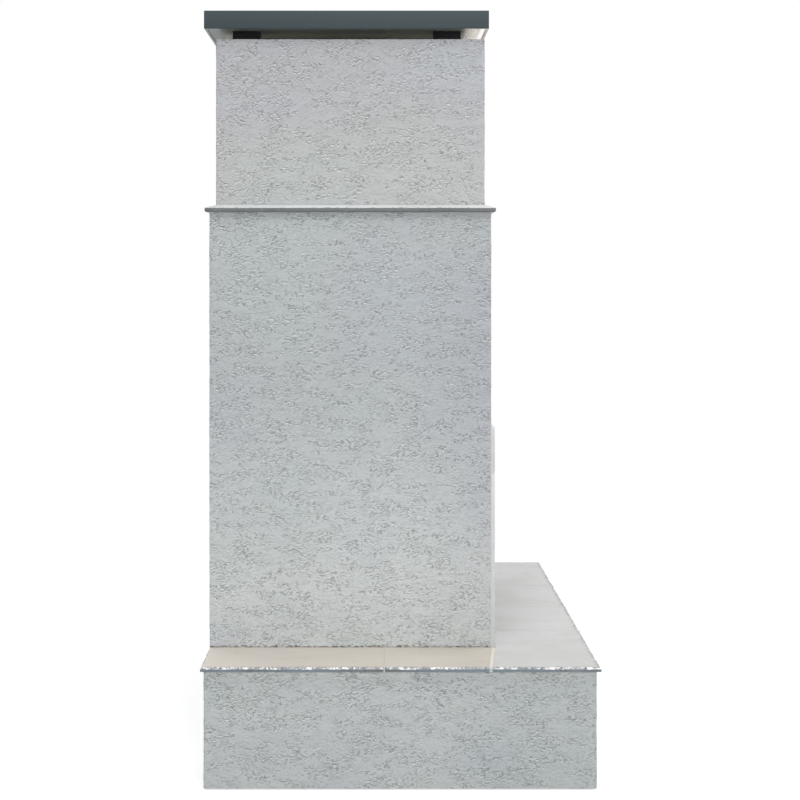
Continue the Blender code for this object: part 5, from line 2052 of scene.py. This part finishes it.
@dataclass
class Studio:
    """Camera, lamps, white surroundings and a floor that keeps the shadow."""

    camera_place: Point = (-5.148, 0.060, 1.269)
    lens: float = 78.35
    sensor: float = 36.0
    shift: tuple[float, float] = (0.0325, -0.149)
    far: float = 100.0
    lamps: Sequence[Lamp] = (
        Lamp("sky_panel", (-2.3, -0.4, 5.4), (-0.4, 0.0, 0.6), 2.8, 160.0),
        Lamp("side_panel", (-5.2, -1.5, 1.9), (0.0, 0.0, 0.8), 2.6, 60.0),
        Lamp("front_panel", (1.4, -4.6, 3.0), (0.0, 0.0, 0.8), 2.6, 100.0),
        Lamp("back_panel", (3.4, 3.4, 3.2), (0.0, 0.0, 1.0), 2.8, 75.0))
    white: Colour = (1.0, 1.0, 1.0, 1.0)
    floor_half: float = 14.0
    floor_height: float = -0.0015
    floor_shade: Colour = (0.56, 0.56, 0.56, 1.0)
    floor_glow: float = 0.55
    floor_fade: Band = (1.6, 3.4)
    ambient: float = 0.58

    def build(self) -> None:
        """Set up the camera, the lamps, the world and the floor."""
        bpy.context.scene.view_settings.view_transform = "Standard"
        camera = bpy.data.cameras.new("photo_camera")
        camera.lens, camera.sensor_width = self.lens, self.sensor
        camera.shift_x, camera.shift_y = self.shift
        camera.clip_end = self.far
        camera.dof.use_dof = False
        stand = bpy.data.objects.new("photo_camera", camera)
        stand.location = self.camera_place
        stand.rotation_euler = (pi / 2, 0, -pi / 2)
        bpy.context.scene.collection.objects.link(stand)
        bpy.context.scene.camera = stand
        for lamp in self.lamps:
            lamp.hang()
        self.surround()
        self.floor()

    def surround(self) -> None:
        """Make the world white to the eye and plain to the rays that carry light."""
        world = bpy.data.worlds.new("white_surround")
        bpy.context.scene.world = world
        board = ShaderBoard(world.name, world)
        board.plug(board.surface.inputs["Color"], self.white)
        strength = board.seen() * (1.0 - self.ambient) + self.ambient
        board.plug(board.surface.inputs["Strength"], strength)

    def floor(self) -> None:
        """Lay a floor that looks white and still takes the object's shadow."""
        bpy.ops.object.select_all(action="DESELECT")
        bpy.ops.mesh.primitive_plane_add(size=2 * self.floor_half,
                                         location=(0, 0, self.floor_height))
        floor = Bench.settle("studio_floor")
        board = ShaderBoard("studio_floor")
        board.finish(Base_Color=self.floor_shade, Roughness=1.0)
        plain = Wire(board, board.surface.outputs[0])
        glow = board.node("ShaderNodeEmission", {}, {"Strength": self.floor_glow})
        white = board.node("ShaderNodeEmission", {}, {"Strength": 1.0})
        lit = board.node("ShaderNodeAddShader", {}, {0: glow, 1: plain})
        away = board.node("ShaderNodeVectorMath", {"operation": "LENGTH"}, {0: board.place()},
                          "Value")
        fade = board.span(away, *self.floor_fade)
        eased = board.node("ShaderNodeMixShader", {}, {0: fade, 1: lit, 2: white})
        shown = board.node("ShaderNodeMixShader", {}, {0: board.seen(), 1: plain, 2: eased})
        board.plug(board.tree.nodes["Material Output"].inputs["Surface"], shown)
        floor.data.materials.append(board.material)


@dataclass
class FrontCut:
    """The hole that the opening's trim needs through the column's coat."""

    clearance: float = 0.0003
    front: float = 0.05
    foot: float = 0.05
    back: float = 0.01

    def corners(self) -> tuple[Vector, Vector]:
        """Find the box that is cut away.

        Returns:
            Its lowest and its highest corner.
        """
        low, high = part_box("opening_trim")
        return (Vector((low.x - self.clearance, low.y - self.front, low.z - self.foot)),
                Vector((high.x + self.clearance, high.y + self.back, high.z + self.clearance)))


# Half of the hearth slab's length and width.
SLAB_RIM = (0.813, 0.50675)

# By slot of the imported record, or by the name that a piece here asks for.
FINISHES = {
    # Paler low on the column: painted light for light bounced up from the floor. Darker towards the front, with a
    # painted line of contact shade at the foot.
    "stucco": StuccoFinish(
        "cool_grey_stucco", (206, 210, 210), (183, 187, 189), low_height=0.4, high_height=1.1,
        foot=0.3063, weathering=ToneDrift(Axis.Y, 0.0, -0.24, (0.952, 0.942, 0.948))),
    # Paler in its top band: painted light that cancels the shadow under the slab's overhang. Darker towards the
    # front.
    "base_stucco": StuccoFinish(
        "shaded_grey_stucco", (194, 198, 198), (221, 226, 225), low_height=0.262, high_height=0.302,
        weathering=ToneDrift(Axis.Y, -0.02, -0.36, (0.915, 0.93, 0.928))),
    "chimney_stucco": StuccoFinish(
        "warm_grey_stucco", (187, 187, 187), (179, 179, 181), low_height=1.5, high_height=1.85),
    # Darker towards both ends of the slab along X: painted shade that evens out the lamps' light on the front
    # tiles.
    "grey_tile": StoneTileFinish(
        "marbled_grey_tile", (198, 199, 198), (198, 196, 193), (187, 184, 180), vein_share=0.16,
        rim=SLAB_RIM, weathering=ToneDrift(Axis.X, 0.18, 0.6, (0.82, 0.82, 0.82), both_ways=True)),
    "beige_tile": StoneTileFinish(
        "warm_beige_tile", (191, 184, 175), (185, 179, 167), (201, 195, 187), vein_share=0.14,
        stretch=(1.0, 0.6, 1.0), rim=SLAB_RIM,
        weathering=ToneDrift(Axis.Y, 0.02, -0.2, (0.905, 0.905, 0.9))),
    "facing_tile": StoneTileFinish(
        "pale_facing_tile", (205, 207, 207), (195, 198, 198), (180, 183, 184), patch_share=0.5,
        vein_share=0.25, roughness=0.45),
    "ledge_tile": StoneTileFinish("ledge_face", (192, 194, 195), (182, 185, 185), (160, 164, 165)),
    # Dark cut edge of the ledge: partly the tile body's own tone, partly painted shade on the edge face and drip.
    "ledge_edge": StoneTileFinish("ledge_cut_edge", (101, 105, 105), (91, 95, 96), (118, 122, 122)),
    "backing_coat": PaintedSteelFinish(
        "pale_backing_coat", (178, 178, 172), (160, 158, 150), roughness=0.5, scuffs=0.1),
    # Painted light in front, soot and painted shade between the posts.
    "soffit_coat": SoffitFinish("weathered_soffit_coat"),
    # The hem's underside: painted light in front and painted shade at its sides, matt.
    "hem_coat": SoffitFinish(
        "weathered_hem_coat", pale=(222, 212, 204), thick_soot=(70, 78, 80), mirror=False),
    # Dark cut edge of the hearth tiles: partly the tile body's own tone, partly painted shade on the edge face.
    "tile_edge": StoneTileFinish(
        "tile_cut_edge", (110, 121, 129), (100, 98, 94), (134, 142, 147), patch_share=0.8),
    "broken_edge": BrokenEdgeFinish("broken_tile_body", crest_height=0.306),
    "broken_ledge": BrokenEdgeFinish(
        "broken_ledge_body", crest_height=1.461, body=(200, 202, 203), hollow=(184, 186, 187),
        crest=(176, 177, 177), crest_depth=0.0006),
    "sealant": CementFinish("pale_sealant", (200, 203, 202), (193, 196, 195), roughness=0.7),
    "mortar": CementFinish("cream_grout", (203, 198, 187), (196, 190, 177)),
    "grey_grout": CementFinish("grey_grout", (203, 205, 205), (198, 199, 199)),
    "cement_board": CementFinish("cement_board", (150, 150, 146), (128, 128, 124)),
    "fire_clay": CementFinish("fire_clay_joint", (142, 128, 108), (84, 75, 64)),
    "frame_steel": PaintedSteelFinish("primed_frame", (92, 88, 84), (120, 112, 100), roughness=0.6),
    "cap_metal": PaintedSteelFinish(
        "slate_powder_coat", (58, 68, 72), (69, 77, 80), roughness=0.6, gloss=0.25),
    "black_steel": PaintedSteelFinish(
        "heatproof_black", (6, 8, 8), (18, 19, 18), roughness=0.65, gloss=0.25),
    "galvanised": GalvanisedFinish("galvanised_sheet"),
    "zinc_flashing": PaintedSteelFinish(
        "zinc_flashing", (247, 245, 240), (236, 233, 226), roughness=0.09, metallic=1.0,
        scuffs=0.0),
    "fire_brick": FireBrickFinish("refractory_brick"),
    "cast_iron": CastIronFinish("cast_iron"),
    "curtain_mesh": PaintedSteelFinish(
        "blackened_wire", (44, 44, 45), (78, 76, 74), roughness=0.4, metallic=0.8),
    "woven_wire": WovenWireFinish("woven_wire"),
}


def main() -> None:
    """Build the fireplace's visible pieces in order."""
    logging.basicConfig(level=logging.INFO, format="%(message)s")
    Studio().build()
    dresser = Dresser(FINISHES)
    StuccoCoat("base_stucco", columns=150, rows=46, seed=3.0, finish="base_stucco").build(dresser)
    StuccoCoat("column_stucco", columns=140, rows=150, corner=0.0018, foot_gap=0.0035,
               seed=11.0).build(dresser, FrontCut().corners())
    StuccoCoat("chimney_stucco", columns=150, rows=68, seed=29.0, finish="chimney_stucco",
               rim_finish="zinc_flashing").build(dresser)
    for piece in (Hearth(), MortarBed(), Ledge(), FacingJoints(), CapTray(), ColumnCover(),
                  Fastenings(), EasedParts(), Firebox(), MeshCurtain(Side.LEFT),
                  MeshCurtain(Side.RIGHT)):
        piece.build(dresser)
    dresser.carry_over()


if __name__ == "__main__":
    main()
